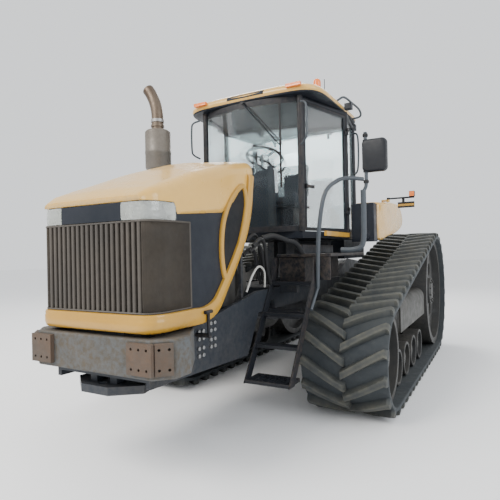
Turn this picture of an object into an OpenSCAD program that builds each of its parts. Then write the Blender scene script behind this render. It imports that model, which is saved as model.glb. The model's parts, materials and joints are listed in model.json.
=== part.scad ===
// Two-belt rubber-tracked field tractor. The nose faces -Y, the operator's left side is +X.
// The origin is on the ground under the middle of the machine.

/* [Belts] */
// Width of each rubber belt
belt_w = 762; // [740:2:780]
// Distance between the middle planes of the two belts
gauge = 2235; // [2230:5:2260]
// Distance from the idler axle to the drive axle
wheelbase = 3040; // [3030:5:3050]
// Radius of the idler over belt and lugs
idler_r = 508; // [504:1:512]
// Radius of the drive wheel over belt and lugs
drive_r = 868; // [862:1:872]
// Height of the tread lugs
lug_h = 60; // [54:1:62]
// Thickness of the belt under the lugs
belt_t = 35; // [33:1:37]
// Number of lugs round each half of the belt
lug_n = 54; // [48:1:56]
// Radius of the small track rollers
roller_r = 185; // [180:1:188]

/* [Hood] */
// Half width of the hood over its sides
hood_hw = 515; // [512:1:520]
// Height of the rear edge of the hood
hood_z = 2290; // [2280:5:2300]
// Number of upright ribs in the nose grille
rib_n = 19; // [15:2:21]

/* [Cab] */
// Height of the top of the cab floor
floor_z = 1700; // [1695:1:1705]
// Height of the underside of the roof
roof_z = 3070; // [3065:1:3080]
// Half width of the roof
roof_hw = 800; // [795:1:810]

/* [Steps] */
// Width of the ladder treads
tread_w = 420; // [410:5:425]

/* [Mount holes] */
// Radius of the drawbar pin hole
pin_hole_r = 26; // [25:0.5:28]
// Radius of the bolt holes in the ballast pads
pad_hole_r = 9; // [8:0.5:10]

/* [Hidden] */
$fn = 48;

belt_x = gauge / 2;
idler_y = -1000;
drive_y = idler_y + wheelbase;
carcass = lug_h + belt_t;
wheel_drive = drive_r - carcass;
wheel_idler = idler_r - carcass;
roller_y = [-380, 60, 500, 940];
roller_z = carcass + roller_r;
nose_y = -3150;
hood_axis = [-1850, 2235];
hood_back = -1830;
a_post = [575, -950];
b_post = [800, -150];
c_post = [700, 450];
glass_r = 1337;
drawbar_end = 3180;

// A round bar from point a to point b
module rod(a, b, r) {
    v = b - a;
    h = norm(v);
    translate(a) rotate([0, acos(v[2] / h), atan2(v[1], v[0])]) cylinder(r = r, h = h);
}

// A round bar along a chain of points, each stretch a little long so that it laps the next
module pipe_run(pts, r) {
    for (i = [0 : len(pts) - 2]) {
        lap = (pts[i + 1] - pts[i]) / norm(pts[i + 1] - pts[i]) * r * 0.55;
        rod(pts[i] - lap, pts[i + 1] + lap, r);
    }
}

// A box from its lowest to its highest corner
module block(lo, hi) { translate(lo) cube(hi - lo); }

// A side view outline in Y and Z, made into a slab from x0 to x1
module side_slab(pts, x0, x1) {
    translate([x0, 0, 0]) rotate([90, 0, 90]) linear_extrude(x1 - x0) polygon(pts);
}

// A plan view outline made into a slab from z0 to z1
module plan_slab(pts, z0, z1) {
    translate([0, 0, z0]) linear_extrude(z1 - z0) polygon(pts);
}

// A shaft along X at the given place
module shaft(x0, x1, y, z, r) { translate([x0, y, z]) rotate([0, 90, 0]) cylinder(r = r, h = x1 - x0); }

// The same thing on both sides of the machine
module both_sides() {
    children();
    mirror([1, 0, 0]) children();
}

// ---- Belts -------------------------------------------------------------------------

// Angle from the level of the upward normal of the belt's top run
run_tilt = 90 + 2 * atan((drive_r - idler_r) / wheelbase);
n_dir = [cos(run_tilt), sin(run_tilt)];

// Side outline of the belt path, this far inside the lug tips
module belt_outline(inset) {
    a = idler_r - inset;
    b = drive_r - inset;
    translate([idler_y, idler_r]) circle(r = a, $fn = 96);
    translate([drive_y, drive_r]) circle(r = b, $fn = 96);
    polygon([[idler_y, inset], [drive_y, inset],
        [drive_y + b * n_dir[0], drive_r + b * n_dir[1]],
        [idler_y + a * n_dir[0], idler_r + a * n_dir[1]]]);
}

drive_arc = run_tilt + 90;
arc_one = drive_arc * PI / 180 * (drive_r - carcass);
arc_two = (360 - drive_arc) * PI / 180 * (idler_r - carcass);
path_len = 2 * wheelbase + arc_one + arc_two;

// Place and angle on the inner face of the belt, at distance s from under the idler
function on_belt(s) =
    s < wheelbase ? [idler_y + s, carcass, 0]
    : s < wheelbase + arc_one ? round_wheel(drive_y, drive_r, wheel_drive, s - wheelbase, -90)
    : s < 2 * wheelbase + arc_one ? top_run(s - wheelbase - arc_one)
    : round_wheel(idler_y, idler_r, wheel_idler, s - 2 * wheelbase - arc_one, run_tilt);
function round_wheel(y, z, r, s, start) = let (a = start + s / r * 180 / PI)
    [y + r * cos(a), z + r * sin(a), a + 90];
function top_run(s) = [drive_y + wheel_drive * n_dir[0] - s * n_dir[1],
    drive_r + wheel_drive * n_dir[1] + s * n_dir[0], run_tilt + 90];

// One ring of blocks along the belt: outside it (lugs) or inside it (guides)
module block_ring(count, phase, length, low, high) {
    for (i = [0 : count - 1]) {
        p = on_belt((i + phase) * path_len / count);
        translate([p[0], p[1]]) rotate(p[2])
            polygon([[-length / 2 - 8, -low], [length / 2 + 8, -low],
                [length / 2 - 10, -high], [10 - length / 2, -high]]);
    }
}

// Slab of a side outline given as a child, from x0 to x1
module belt_slab(x0, x1) {
    translate([x0, 0, 0]) rotate([90, 0, 90]) linear_extrude(x1 - x0) children();
}

module belt(mid) {
    color([0.16, 0.17, 0.17]) {
        belt_slab(mid - belt_w / 2, mid + belt_w / 2)
            difference() { belt_outline(lug_h); belt_outline(carcass); }
        belt_slab(mid - belt_w / 2, mid - 4) block_ring(lug_n, 0, 62, belt_t - 4, carcass);
        belt_slab(mid + 4, mid + belt_w / 2) block_ring(lug_n, 0.5, 62, belt_t - 4, carcass);
        belt_slab(mid - 44, mid + 44) block_ring(lug_n, 0.25, 80, 6, -92);
    }
}
module belt_left() { belt(belt_x); }
module belt_right() { belt(-belt_x); }

// A wheel with two rims that straddle the belt's guides, about the axis at y, z
module twin_wheel(mid, y, z, r, gap, outer, hub_r, axle_r, holes) {
    for (s = [-1, 1]) {
        x0 = mid + (s > 0 ? gap : -outer);
        w = outer - gap;
        difference() {
            shaft(x0, x0 + w, y, z, r);
            shaft(x0 - 1, x0 + w + 1, y, z, r - r * 0.09 - 14);
        }
        difference() {
            shaft(x0 + w * 0.42, x0 + w * 0.58, y, z, r - r * 0.09 - 10);
            for (k = [0 : holes - 1])
                translate([0, y, z]) rotate([k * 360 / holes, 0, 0])
                    shaft(x0, x0 + w, 0, (hub_r + r * 0.86) / 2, r * 0.13);
        }
        shaft(x0 + w * 0.15, x0 + w * 0.85, y, z, hub_r);
    }
    shaft(mid - outer + 30, mid + outer - 30, y, z, axle_r);
}
module drive_wheel(mid) {
    s = mid / abs(mid);
    color([0.23, 0.23, 0.23]) {
        twin_wheel(mid, drive_y, drive_r, wheel_drive - 0.5, 63, 312, 190, 120, 8);
        for (k = [0 : 9]) translate([0, drive_y, drive_r]) rotate([k * 36, 0, 0])
            shaft(mid + s * 282 - 14, mid + s * 282 + 14, 0, 155, 13);
    }
}
module idler(mid) {
    color([0.23, 0.24, 0.25])
        twin_wheel(mid, idler_y, idler_r, wheel_idler - 0.5, 63, 302, 105, 60, 0);
}
module roller(mid, k) {
    color([0.2, 0.21, 0.22])
        twin_wheel(mid, roller_y[k], roller_z, roller_r - 0.5, 73, 262, 70, 35, 0);
}
module drive_wheel_left() { drive_wheel(belt_x); }
module drive_wheel_right() { drive_wheel(-belt_x); }
module idler_left() { idler(belt_x); }
module idler_right() { idler(-belt_x); }
module roller_left_1() { roller(belt_x, 0); }
module roller_left_2() { roller(belt_x, 1); }
module roller_left_3() { roller(belt_x, 2); }
module roller_left_4() { roller(belt_x, 3); }
module roller_right_1() { roller(-belt_x, 0); }
module roller_right_2() { roller(-belt_x, 1); }
module roller_right_3() { roller(-belt_x, 2); }
module roller_right_4() { roller(-belt_x, 3); }

// Beam between the twin rollers, inboard arm to the drive axle, and the rounded outer cover
module track_frame() {
    axle_gap = 1;
    color([0.3, 0.3, 0.29]) difference() {
        union() {
            side_slab([[-1130, 430], [-700, 225], [1180, 225], [1180, 600], [-700, 650],
                [-1130, 590]], belt_x - 36, belt_x + 36);
            side_slab([[-200, 380], [1000, 380], [1900, 690], [2060, 690], [2060, 1050],
                [1800, 1040], [900, 640], [-200, 640]], belt_x - 372, belt_x - 332);
            for (y = [-160, 720])
                shaft(belt_x - 332, belt_x - 36, y, 560, 40);
            shaft(belt_x - 376, belt_x - 320, drive_y, drive_r, 182);
            side_slab([[-400, 640], [1180, 640], [1180, 690], [-400, 690]], belt_x - 30, belt_x + 60);
        }
        shaft(belt_x - 400, belt_x - 300, drive_y, drive_r, 130 + axle_gap);
        shaft(belt_x - 60, belt_x + 60, idler_y, idler_r, 60 + axle_gap);
        for (y = roller_y) shaft(belt_x - 60, belt_x + 60, y, roller_z, 35 + axle_gap);
    }
    color([0.38, 0.38, 0.36]) difference() {
        union() {
            block([belt_x + 60, -400, 640], [belt_x + 290, 1180, 870]);
            translate([belt_x + 175, 1180, 870]) rotate([90, 0, 0]) cylinder(r = 115, h = 1580);
        }
        block([belt_x + 75, -401, 630], [belt_x + 275, 1165, 860]);
    }
}
module track_frame_left() { track_frame(); }
module track_frame_right() { mirror([1, 0, 0]) track_frame(); }

module hard_bar() {
    color([0.12, 0.13, 0.15]) difference() {
        union() {
            shaft(-725, 725, -1400, 925, 46);
            translate([0, -1330, 925]) rotate([90, 0, 0]) cylinder(r = 85, h = 140);
        }
        translate([0, -1329, 925]) rotate([90, 0, 0]) cylinder(r = 40.5, h = 142);
    }
}

// ---- Frame and power train ---------------------------------------------------------

module main_frame() {
    rail = [[-3060, 660], [-2780, 655], [-1850, 622], [-1790, 700], [-1640, 960], [-1500, 960],
        [-1480, 1050], [-1320, 1050], [-1300, 960], [1700, 960], [1700, 1150], [-1640, 1150],
        [-2550, 985], [-3060, 965]];
    color([0.17, 0.19, 0.22]) {
        both_sides() {
            side_slab(rail, 390, 425);
            for (y = [-760, 300]) block([330, y - 60, 1150], [425, y + 60, floor_z - 70]);
            block([424, -1180, 1100], [600, -1120, 1200]);
            block([358, -1866, 1080], [384, -1834, 2235]);
            block([60, -3040, 640], [120, -2960, 710]);
        }
        shaft(-384, 384, hood_axis[0], hood_axis[1], 14);
        tow_plate();
        block([-390, -3060, 700], [390, -2960, 940]);
        block([-390, -2000, 965], [390, -1930, 1045]);
        block([-390, 1250, 970], [390, 1330, 1140]);
        translate([0, -1480, 925]) rotate([90, 0, 0]) cylinder(r = 90, h = 60);
        translate([0, -1255, 925]) rotate([90, 0, 0]) cylinder(r = 40, h = 300);
        block([-390, -1290, 890], [390, -1255, 1150]);
        block([-60, -1930, 960], [60, -1540, 1010]);
    }
}

// Plate with the towing eye, under the nose
module tow_plate() {
    difference() {
        plan_slab([[-230, -2700], [230, -2700], [300, -2980], [120, -3120], [-120, -3120],
            [-300, -2980]], 600, 654);
        translate([0, -3050, 590]) cylinder(r = 28, h = 80);
    }
}

module front_bracket() {
    outer = [[-620, -2900], [-620, -3040], [-510, nose_y], [510, nose_y], [620, -3040],
        [620, -2900], [425.5, -2600], [425.5, -3062], [-425.5, -3062], [-425.5, -2600]];
    color([0.36, 0.32, 0.28]) plan_slab(outer, 745, 985);
}

module pad(angle, at, w) {
    translate(at) rotate([0, 0, angle]) difference() {
        block([-w / 2, -30, -95], [w / 2, 0, 95]);
        for (x = [-60, 0, 60], z = [-60, 60]) if (w > 150 || x != 0)
            translate([w > 150 ? x : x * 0.5, 1, z]) rotate([90, 0, 0])
                cylinder(r = pad_hole_r, h = 32);
    }
}
module ballast_pads() {
    color([0.38, 0.31, 0.26]) {
        for (s = [-1, 1]) pad(0, [s * 442, nose_y, 872], 195);
        for (s = [-1, 1]) pad(s * 45, [s * 565, -3095, 872], 110);
    }
}

module frame_bolts() {
    color([0.5, 0.52, 0.54]) both_sides() {
        for (q = [[-2530, 790], [-2530, 910], [-2380, 830], [-2380, 950]])
            for (dy = [-26, 26], dz = [-26, 26])
                shaft(425, 441, q[0] + dy, q[1] + dz, 14);
    }
}

module engine() {
    color([0.3, 0.3, 0.28]) {
        block([-250, -2700, 1000], [250, -1750, 1480]);
        block([-200, -2650, 820], [200, -1800, 1000]);
        block([-170, -2680, 1480], [170, -1780, 1760]);
        for (i = [0 : 5]) block([170, -2640 + i * 145, 1500], [290, -2560 + i * 145, 1600]);
        block([290, -2660, 1480], [350, -1800, 1620]);
        shaft(-430, -250, -2250, 1650, 110);
        translate([0, -1750, 1250]) rotate([-90, 0, 0]) cylinder(r = 300, h = 130);
        translate([0, -2700, 1380]) rotate([90, 0, 0]) cylinder(r = 45, h = 40);
    }
}
module radiator() {
    color([0.14, 0.14, 0.15]) {
        block([-430, -3040, 1000], [430, -2900, 1760]);
        difference() {
            block([-430, -2900, 1000], [430, -2830, 1760]);
            translate([0, -2829, 1380]) rotate([90, 0, 0]) cylinder(r = 345, h = 80);
        }
    }
}
module cooling_fan() {
    color([0.1, 0.1, 0.1]) {
        translate([0, -2745, 1380]) rotate([90, 0, 0]) cylinder(r = 70, h = 80);
        for (k = [0 : 7]) translate([0, -2790, 1380]) rotate([0, k * 45, 0])
            rotate([0, 0, 25]) block([-6, -25, 50], [6, 25, 325]);
    }
}
module transmission() {
    color([0.2, 0.2, 0.21]) {
        side_slab([[-1200, 1010], [-1000, 800], [1500, 700], [1700, 560], [2400, 560],
            [2500, 760], [2500, 1300], [1500, 1380], [1000, 1150], [-1200, 1150]], -280, 280);
        translate([0, -1200, 1250]) rotate([90, 0, 0]) cylinder(r = 60, h = 420);
        both_sides() {
            shaft(279, 560, drive_y, drive_r, 240);
            shaft(560, belt_x - 316, drive_y, drive_r, 130);
        }
        block([-90, 2500, 440], [90, 2560, 900]);
        block([-90, 1700, 440], [90, 2560, 560]);
        translate([0, 1750, 352]) cylinder(r = 34.5, h = 90);
    }
}
module drawbar() {
    half = 45;
    z0 = 330;
    color([0.15, 0.15, 0.15]) difference() {
        union() {
            block([-half, 1640, z0 + 35], [half, drawbar_end - 210, z0 + 100]);
            block([-half, drawbar_end - 320, z0], [half, drawbar_end, z0 + 35]);
            block([-half, drawbar_end - 320, z0 + 100], [half, drawbar_end, z0 + 135]);
        }
        translate([0, drawbar_end - 60, z0 - 1]) cylinder(r = pin_hole_r, h = 140);
        translate([0, 1750, z0]) cylinder(r = 35.05, h = 120);
    }
}

module fuel_tank() {
    color([0.1, 0.11, 0.13]) {
        difference() {
            block([-540, 530, 1390], [540, 1500, 1720]);
            block([-520, 550, 1410], [520, 1480, 1700]);
        }
        both_sides() {
            block([850, -160, 1590], [1100, -5, 2020]);
            translate([1010, -160, 1650]) rotate([90, 0, 0]) cylinder(r = 38, h = 22);
        }
        translate([0, 1300, 1719]) cylinder(r = 60, h = 40);
    }
}
module fenders() {
    color([0.87, 0.63, 0.2]) both_sides() {
        difference() {
            side_slab([[-5, 1610], [-5, 2025], [350, 2075], [1150, 2105], [1330, 2060],
                [1430, 1960], [1450, 1890], [1330, 1800], [900, 1700]], 690, 1120);
            plan_slab([for (p = cab_plan) p * 1.09], 1500, 2300);
        }
        shaft(940, 1125, 410, 2084, 12);
        translate([1140, 410, 2070]) cylinder(r = 18, h = 28);
        block([1120, 396, 2070], [1140, 424, 2098]);
    }
}

// ---- Access ------------------------------------------------------------------------

tread_y = [-1930, -1740, -1580, -1400];
tread_z = [440, 700, 955, 1215];
ladder_x = 427;

module ladder() {
    x1 = ladder_x + tread_w;
    color([0.13, 0.13, 0.15]) {
        for (x = [ladder_x, x1 - 14])
            side_slab([[tread_y[0] - 10, tread_z[0] - 30], [tread_y[0] + 90, tread_z[0] - 30],
                [tread_y[3] + 100, tread_z[3] + 20], [-1255, 1440], [-1330, 1440],
                [tread_y[3] + 10, tread_z[3] + 20]], x, x + 14);
        for (k = [0 : 3]) {
            depth = k == 0 ? 230 : 110;
            difference() {
                block([ladder_x + 14, tread_y[k], tread_z[k] - 30],
                    [x1 - 14, tread_y[k] + depth, tread_z[k]]);
                for (i = [0 : 5]) if (k == 0)
                    block([ladder_x + 40 + i * 58, tread_y[k] + 30, tread_z[k] - 31],
                        [ladder_x + 80 + i * 58, tread_y[k] + 200, tread_z[k] + 1]);
            }
        }
    }
}
module deck() {
    color([0.12, 0.13, 0.15]) {
        block([ladder_x + 10, -1270, 1442], [980, -160, 1472]);
        difference() {
            block([450, -1240, 1205], [715, -260, 1441]);
            block([470, -1220, 1225], [695, -280, 1421]);
        }
        block([850, -1262, 1230], [970, -1250, 1441]);
        block([610, -1100, 1472], [640, -200, 1560]);
    }
}
module rails() {
    color([0.25, 0.27, 0.29]) {
        pipe_run([[858, -1300, 1160], [905, -1370, 1650], [955, -1330, 2000], [1030, -1200, 2130],
            [1100, -1080, 2160], [1205, -965, 2160]], 19);
        pipe_run([[860, -1480, 980], [858, -1300, 1160]], 15);
        both_sides() {
            pipe_run([[975, -950, 1500], [1110, -950, 1500], [1195, -950, 1590],
                [1200, -950, 2060]], 26);
            pipe_run([[1200, -950, 2060], [1230, -950, 2115], [1230, -950, 2600]], 17);
            pipe_run([[612, -1010, 2990], [690, -1060, 2930], [690, -1060, 2640],
                [612, -1010, 2560]], 10);
        }
        block([-1000, -1000, 1442], [-560, -600, 1472]);
        pipe_run([[800, -420, 3130], [860, -380, 3165], [880, -150, 3165], [905, 60, 3140],
            [900, 120, 3080], [800, 120, 3060]], 12);
        pipe_run([[748, 330, 2950], [815, 300, 2880], [825, 250, 2500], [748, 330, 2420]], 11);
    }
}

// Mirror head that turns about its upright post
module mirror_head() {
    color([0.1, 0.1, 0.11]) {
        difference() {
            block([1198, -985, 2220], [1428, -915, 2530]);
            translate([1230, -950, 2210]) cylinder(r = 17.4, h = 330);
            block([1273, -925, 2240], [1408, -914, 2510]);
        }
    }
}
module mirror_left() { mirror_head(); }
module mirror_right() { mirror([1, 0, 0]) mirror_head(); }

// ---- Cab ---------------------------------------------------------------------------

cab_plan = [[-a_post[0], a_post[1]], [a_post[0], a_post[1]], b_post, c_post,
    [-c_post[0], c_post[1]], [-b_post[0], b_post[1]]];

module cab_floor() {
    color([0.13, 0.13, 0.14]) plan_slab([for (p = cab_plan) p * 1.02], floor_z - 70, floor_z);
    color([0.88, 0.62, 0.15]) both_sides()
        side_slab([[-1000, 1642], [-250, 1642], [-250, 1690], [-1000, 1690]], 824, 850);
    color([0.13, 0.13, 0.14]) both_sides() block([770, -700, 1640], [824, -260, 1690]);
}

module post(p, r) { translate([p[0], p[1], floor_z]) cylinder(r = r, h = roof_z - floor_z); }
module header(a, b, z, r) { rod([a[0], a[1], z], [b[0], b[1], z], r); }
module cab_frame() {
    color([0.09, 0.1, 0.11]) {
        both_sides() {
            post(a_post, 30);
            post(c_post, 34);
            header(a_post, b_post, roof_z - 24, 22);
            header(b_post, c_post, roof_z - 24, 22);
            header(b_post, c_post, floor_z + 26, 22);
        }
        post([b_post[0], b_post[1]], 24);
        mirror([1, 0, 0]) post(b_post, 30);
        mirror([1, 0, 0]) header(a_post, b_post, floor_z + 26, 22);
        header([-c_post[0], c_post[1]], c_post, roof_z - 24, 22);
        header([-c_post[0], c_post[1]], c_post, floor_z + 26, 22);
        intersection() {
            windshield_arc(44, 8);
            union() {
                block([-550, -1200, floor_z], [550, -900, floor_z + 60]);
                block([-550, -1200, roof_z - 60], [550, -900, roof_z]);
            }
        }
        door_place() for (z = hinge_z) {
            block([-6, 15, z + 41], [12, 40, z + 80]);
            translate([door_pin[0], door_pin[1], z + 41]) cylinder(r = 9, h = 39);
        }
        both_sides() {
            shaft(400.5, 425, pane_axis[0], pane_axis[1], 9);
            block([400.5, pane_axis[0] - 9, pane_axis[1]], [425, pane_axis[0] + 4, 3040]);
        }
    }
}

// Upright wall bent like the windshield
module windshield_arc(thick, inset) {
    mid_y = a_post[1] + sqrt(glass_r * glass_r - a_post[0] * a_post[0]);
    translate([0, mid_y, floor_z]) difference() {
        cylinder(r = glass_r - inset, h = roof_z - floor_z, $fn = 96);
        translate([0, 0, -1]) cylinder(r = glass_r - inset - thick, h = roof_z - floor_z + 2, $fn = 96);
    }
}
// Flat pane between two posts, short of each by the gap
module pane(a, b, gap_a, gap_b, z0, z1, t) {
    v = b - a;
    translate([a[0], a[1], z0]) rotate([0, 0, atan2(v[1], v[0])])
        translate([gap_a, -t / 2, 0]) cube([norm(v) - gap_a - gap_b, t, z1 - z0]);
}
module cab_glass() {
    z0 = floor_z + 49;
    z1 = roof_z - 47;
    color([0.6, 0.78, 0.78, 0.4]) {
        intersection() {
            windshield_arc(6, 20);
            block([-540, -1200, floor_z + 61], [540, -900, roof_z - 61]);
        }
        pane(b_post, c_post, 32, 36, z0, z1, 6);
        mirror([1, 0, 0]) pane(b_post, c_post, 32, 36, z0, z1, 6);
        mirror([1, 0, 0]) pane(a_post, b_post, 32, 32, z0, z1, 6);
    }
}
module rear_window() {
    w = c_post[0] - 40;
    z0 = floor_z + 52;
    z1 = roof_z - 62;
    color([0.6, 0.78, 0.78, 0.4]) block([-w, c_post[1] - 3, z0], [w, c_post[1] + 3, z1]);
    color([0.09, 0.1, 0.11]) both_sides() {
        shaft(370, 400, pane_axis[0], pane_axis[1], 9);
        block([370, c_post[1] + 3, pane_axis[1] - 60], [400, pane_axis[0] - 4, pane_axis[1]]);
    }
    color([0.09, 0.1, 0.11]) block([-90, c_post[1] - 30, z0 + 30], [90, c_post[1] - 3, z0 + 60]);
}

// The door, flat between the front and middle posts, drawn along +X from the middle post
door_turn = atan2(a_post[1] - b_post[1], a_post[0] - b_post[0]);
door_len = norm(a_post - b_post);
module door_place() {
    translate([b_post[0], b_post[1], 0]) rotate([0, 0, door_turn]) children();
}
door_pin = [12, 36];
hinge_z = [1900, 2800];
pane_axis = [468, 3014];
door_lo = [28, 0, floor_z + 6];
door_hi = [door_len - 34, 0, roof_z - 49];
module door_frame() {
    bar = 34;
    color([0.08, 0.09, 0.1]) door_place() {
        difference() {
            block([door_lo[0], -12, door_lo[2]], [door_hi[0], 14, door_hi[2]]);
            block([door_lo[0] + bar, -13, door_lo[2] + bar], [door_hi[0] - bar, 15, door_hi[2] - bar]);
        }
        block([door_hi[0] - 130, 26, 2140], [door_hi[0] - 40, 44, 2170]);
        block([door_hi[0] - 30, 14, 2130], [door_hi[0] - 6, 40, 2180]);
        block([door_hi[0] - 46, 26, 2140], [door_hi[0] - 6, 44, 2170]);
        for (z = hinge_z) {
            block([30, 13, z], [60, 36, z + 40]);
            block([12, 29, z], [31, 43, z + 40]);
            translate([door_pin[0], door_pin[1], z]) cylinder(r = 9, h = 40);
        }
    }
}
module door_glass() {
    color([0.6, 0.78, 0.78, 0.4]) door_place()
        block([door_lo[0] + 34.5, -3, door_lo[2] + 34.5], [door_hi[0] - 34.5, 3, door_hi[2] - 34.5]);
}

// Rounded plan outline of the roof, grown or shrunk by d
module roof_plan(d, z) {
    for (q = [[roof_hw - 160, -900], [roof_hw - 190, 370]]) for (s = [-1, 1])
        translate([s * q[0], q[1], z]) cylinder(r = 160 + d, h = 20, $fn = 32);
}
module roof_shell() {
    color([0.85, 0.63, 0.27]) hull() {
        roof_plan(-12, roof_z + 32);
        roof_plan(0, roof_z + 60);
        roof_plan(-60, roof_z + 150);
        roof_plan(-140, roof_z + 180);
    }
}
module roof_liner() {
    color([0.12, 0.12, 0.12]) hull() {
        roof_plan(-70, roof_z);
        roof_plan(-12, roof_z + 12);
    }
}

module consoles() {
    color([0.1, 0.1, 0.11]) {
        side_slab([[-860, floor_z], [-640, floor_z], [-690, 2400], [-760, 2440], [-860, 2300]],
            -150, 150);
        rod([0, -700, 2380], [0, -640, 2530], 30);
        side_slab([[-330, 2080], [-420, 2270], [-380, 2300], [120, 2260], [120, 2080]], -440, -310);
        block([-430, -100, floor_z], [-320, 100, 2080]);
        for (x = [-90, 90]) block([x - 40, -640, floor_z + 1], [x + 40, -600, floor_z + 120]);
    }
}
module steering_wheel() {
    color([0.06, 0.06, 0.06]) translate([0, -640, 2530]) rotate([-21.8, 0, 0]) {
        translate([0, 0, 40]) rotate_extrude($fn = 64) translate([205, 0]) circle(r = 15);
        translate([0, 0, 2]) cylinder(r = 55, h = 46);
        for (a = [90, 210, 330]) rotate([0, 0, a]) translate([45, -14, 32]) cube([152, 28, 12]);
    }
}
module seat_base() {
    color([0.1, 0.1, 0.1]) {
        translate([0, -60, floor_z + 1]) cylinder(r = 150, h = 60);
        block([-170, -240, floor_z + 61], [170, 120, floor_z + 330]);
        block([-215, -300, floor_z + 330], [215, 180, floor_z + 370]);
        block([-60, 130, floor_z + 370], [60, 175, floor_z + 560]);
    }
}
module seat_cushion() {
    color([0.14, 0.15, 0.17]) hull() for (x = [-205, 205], y = [-300, 70])
        translate([x, y, floor_z + 371]) cylinder(r = 45, h = 118, $fn = 32);
}
module seat_back() {
    color([0.14, 0.15, 0.17]) hull() for (x = [-180, 180])
        for (q = [[125, floor_z + 520], [140, 2570]]) translate([x, q[0], q[1]])
            rotate([-90, 0, 0]) cylinder(r = 50, h = 62, $fn = 32);
}

module muffler() {
    color([0.48, 0.46, 0.43]) {
        translate([-850, -1450, 2400]) cylinder(r = 135, h = 400);
        translate([-850, -1450, 2800]) cylinder(r1 = 135, r2 = 85, h = 20);
        translate([-850, -1450, 1474]) cylinder(r = 70, h = 927);
    }
    color([0.12, 0.12, 0.12]) {
        block([-960, -1530, 1472], [-600, -900, 1487]);
        block([-880, -1320, 1480], [-820, -1300, 2500]);
    }
}
module exhaust_stack() {
    color([0.42, 0.36, 0.3]) difference() {
        union() {
            translate([-850, -1450, 2820]) cylinder(r = 62, h = 120);
            translate([-850, -1450, 2940]) bend();
            translate([-850, -1450, 2850]) cylinder(r = 70, h = 24);
        }
        translate([-1300, -1600, 2900]) rotate([0, -22, 0])
            block([-400, 0, -300], [170, 300, 600]);
    }
}
// Outlet pipe that leans out over the side of the machine
module bend() {
    turn = 40;
    rad = 520;
    translate([-rad, 0, 0]) rotate([90, 0, 0])
        rotate_extrude(angle = turn) translate([rad, 0]) difference() {
            circle(r = 62);
            circle(r = 55);
        }
}

module lamps() {
    color([0.95, 0.45, 0.05]) {
        translate([600, -500, 3246]) cylinder(r = 55, h = 15);
        translate([600, -500, 3261]) cylinder(r = 42, h = 80);
        translate([600, -500, 3341]) sphere(r = 42);
        both_sides() block([480, -1085, 3128], [640, -1045, 3165]);
    }
    color([0.2, 0.2, 0.2]) translate([660, -430, 3240]) cylinder(r = 4, h = 150);
    color([0.12, 0.12, 0.12]) {
        for (s = [-1, 1]) block([s * 660 - 60, 540, 3040], [s * 660 + 60, 600, 3120]);
        both_sides() block([815, -230, 3080], [895, -160, 3150]);
    }
}

// ---- Hood --------------------------------------------------------------------------

// A flat rounded section of the hood, set in the plane at y, from half width w and height z
module hood_section(y, w, z, low) {
    for (s = [-1, 1]) {
        translate([s * (w - 110), y, z - 110]) rotate([90, 0, 0]) cylinder(r = 110, h = 10, $fn = 32);
        translate([s * (w - 12), y, low]) rotate([90, 0, 0]) cylinder(r = 12, h = 10, $fn = 32);
    }
}
// Hood body through a list of sections, each a place along Y, a top height and a half width
module hood_form(top, d) {
    for (i = [0 : len(top) - 2]) hull() {
        hood_section(top[i][0], top[i][2] - d, top[i][1] - d, 1765);
        hood_section(top[i + 1][0], top[i + 1][2] - d, top[i + 1][1] - d, 1765);
    }
}
module hood_shell() {
    outside = [[-3115, 1888, 446], [-3030, 1935, 500], [-2650, 2092, hood_hw],
        [-2250, 2215, hood_hw], [hood_back + 10, hood_z, hood_hw - 10]];
    inside = [[-3085, 1888, 446], [-2650, 2092, hood_hw], [-2250, 2215, hood_hw],
        [hood_back + 50, hood_z, hood_hw - 10]];
    color([0.86, 0.65, 0.3]) {
        difference() {
            hood_form(outside, 0);
            hood_form(inside, 25);
            side_slab([[-3300, 1500], [-3300, 1824], [-2885, 1824], [-2885, 1752], [-2350, 1798],
                [-2160, 1905], [-2030, 1990], [-1700, 1990], [-1700, 1500]], -900, 900);
        }
        difference() {
            both_sides() block([330, -1872, 2205], [352, -1828, 2275]);
            shaft(-400, 400, hood_axis[0], hood_axis[1], 14.5);
        }
    }
}
// Rounded outline of the side vent, grown or shrunk by d
module vent_outline(d) {
    offset(d) polygon([[-2040, 1985], [-2150, 1930], [-2260, 1830], [-2330, 1700], [-2352, 1500],
        [-2325, 1350], [-2280, 1310], [-2215, 1380], [-2125, 1540], [-2050, 1720],
        [-2010, 1880]]);
}
module hood_sides() {
    color([0.13, 0.14, 0.16]) both_sides() difference() {
        side_slab([[-2740, 1129], [-2740, 1751], [-2350, 1797], [-2160, 1904], [-2031, 1989],
            [-1950, 1989], [-1980, 1812], [-2080, 1610], [-2270, 1385], [-2410, 1190],
            [-2490, 1129]], hood_hw - 22, hood_hw - 3);
        belt_slab(hood_hw - 30, hood_hw + 10) vent_outline(-12);
    }
}
module hood_band() {
    sweep = [[-2760, 1012], [-2560, 1015], [-2480, 1060], [-2370, 1200], [-2220, 1400],
        [-2010, 1630], [-1915, 1812], [-1880, 1965], [-1878, 1988], [-1962, 1988],
        [-2010, 1812], [-2110, 1600], [-2300, 1390], [-2440, 1200], [-2530, 1128],
        [-2760, 1128]];
    color([0.86, 0.6, 0.16]) {
        both_sides() {
            side_slab(sweep, hood_hw - 2.5, hood_hw + 16);
            belt_slab(hood_hw - 2.5, hood_hw + 14) difference() {
                vent_outline(16);
                vent_outline(-18);
            }
        }
        difference() {
            plan_slab([[-531, -2740], [-531, -3020], [-450, -3145], [450, -3145], [531, -3020],
                [531, -2740]], 1012, 1128);
            plan_slab([[-480, -2700], [-480, -3000], [-430, -3070], [430, -3070], [480, -3000],
                [480, -2700]], 1000, 1140);
        }
    }
}
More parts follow.
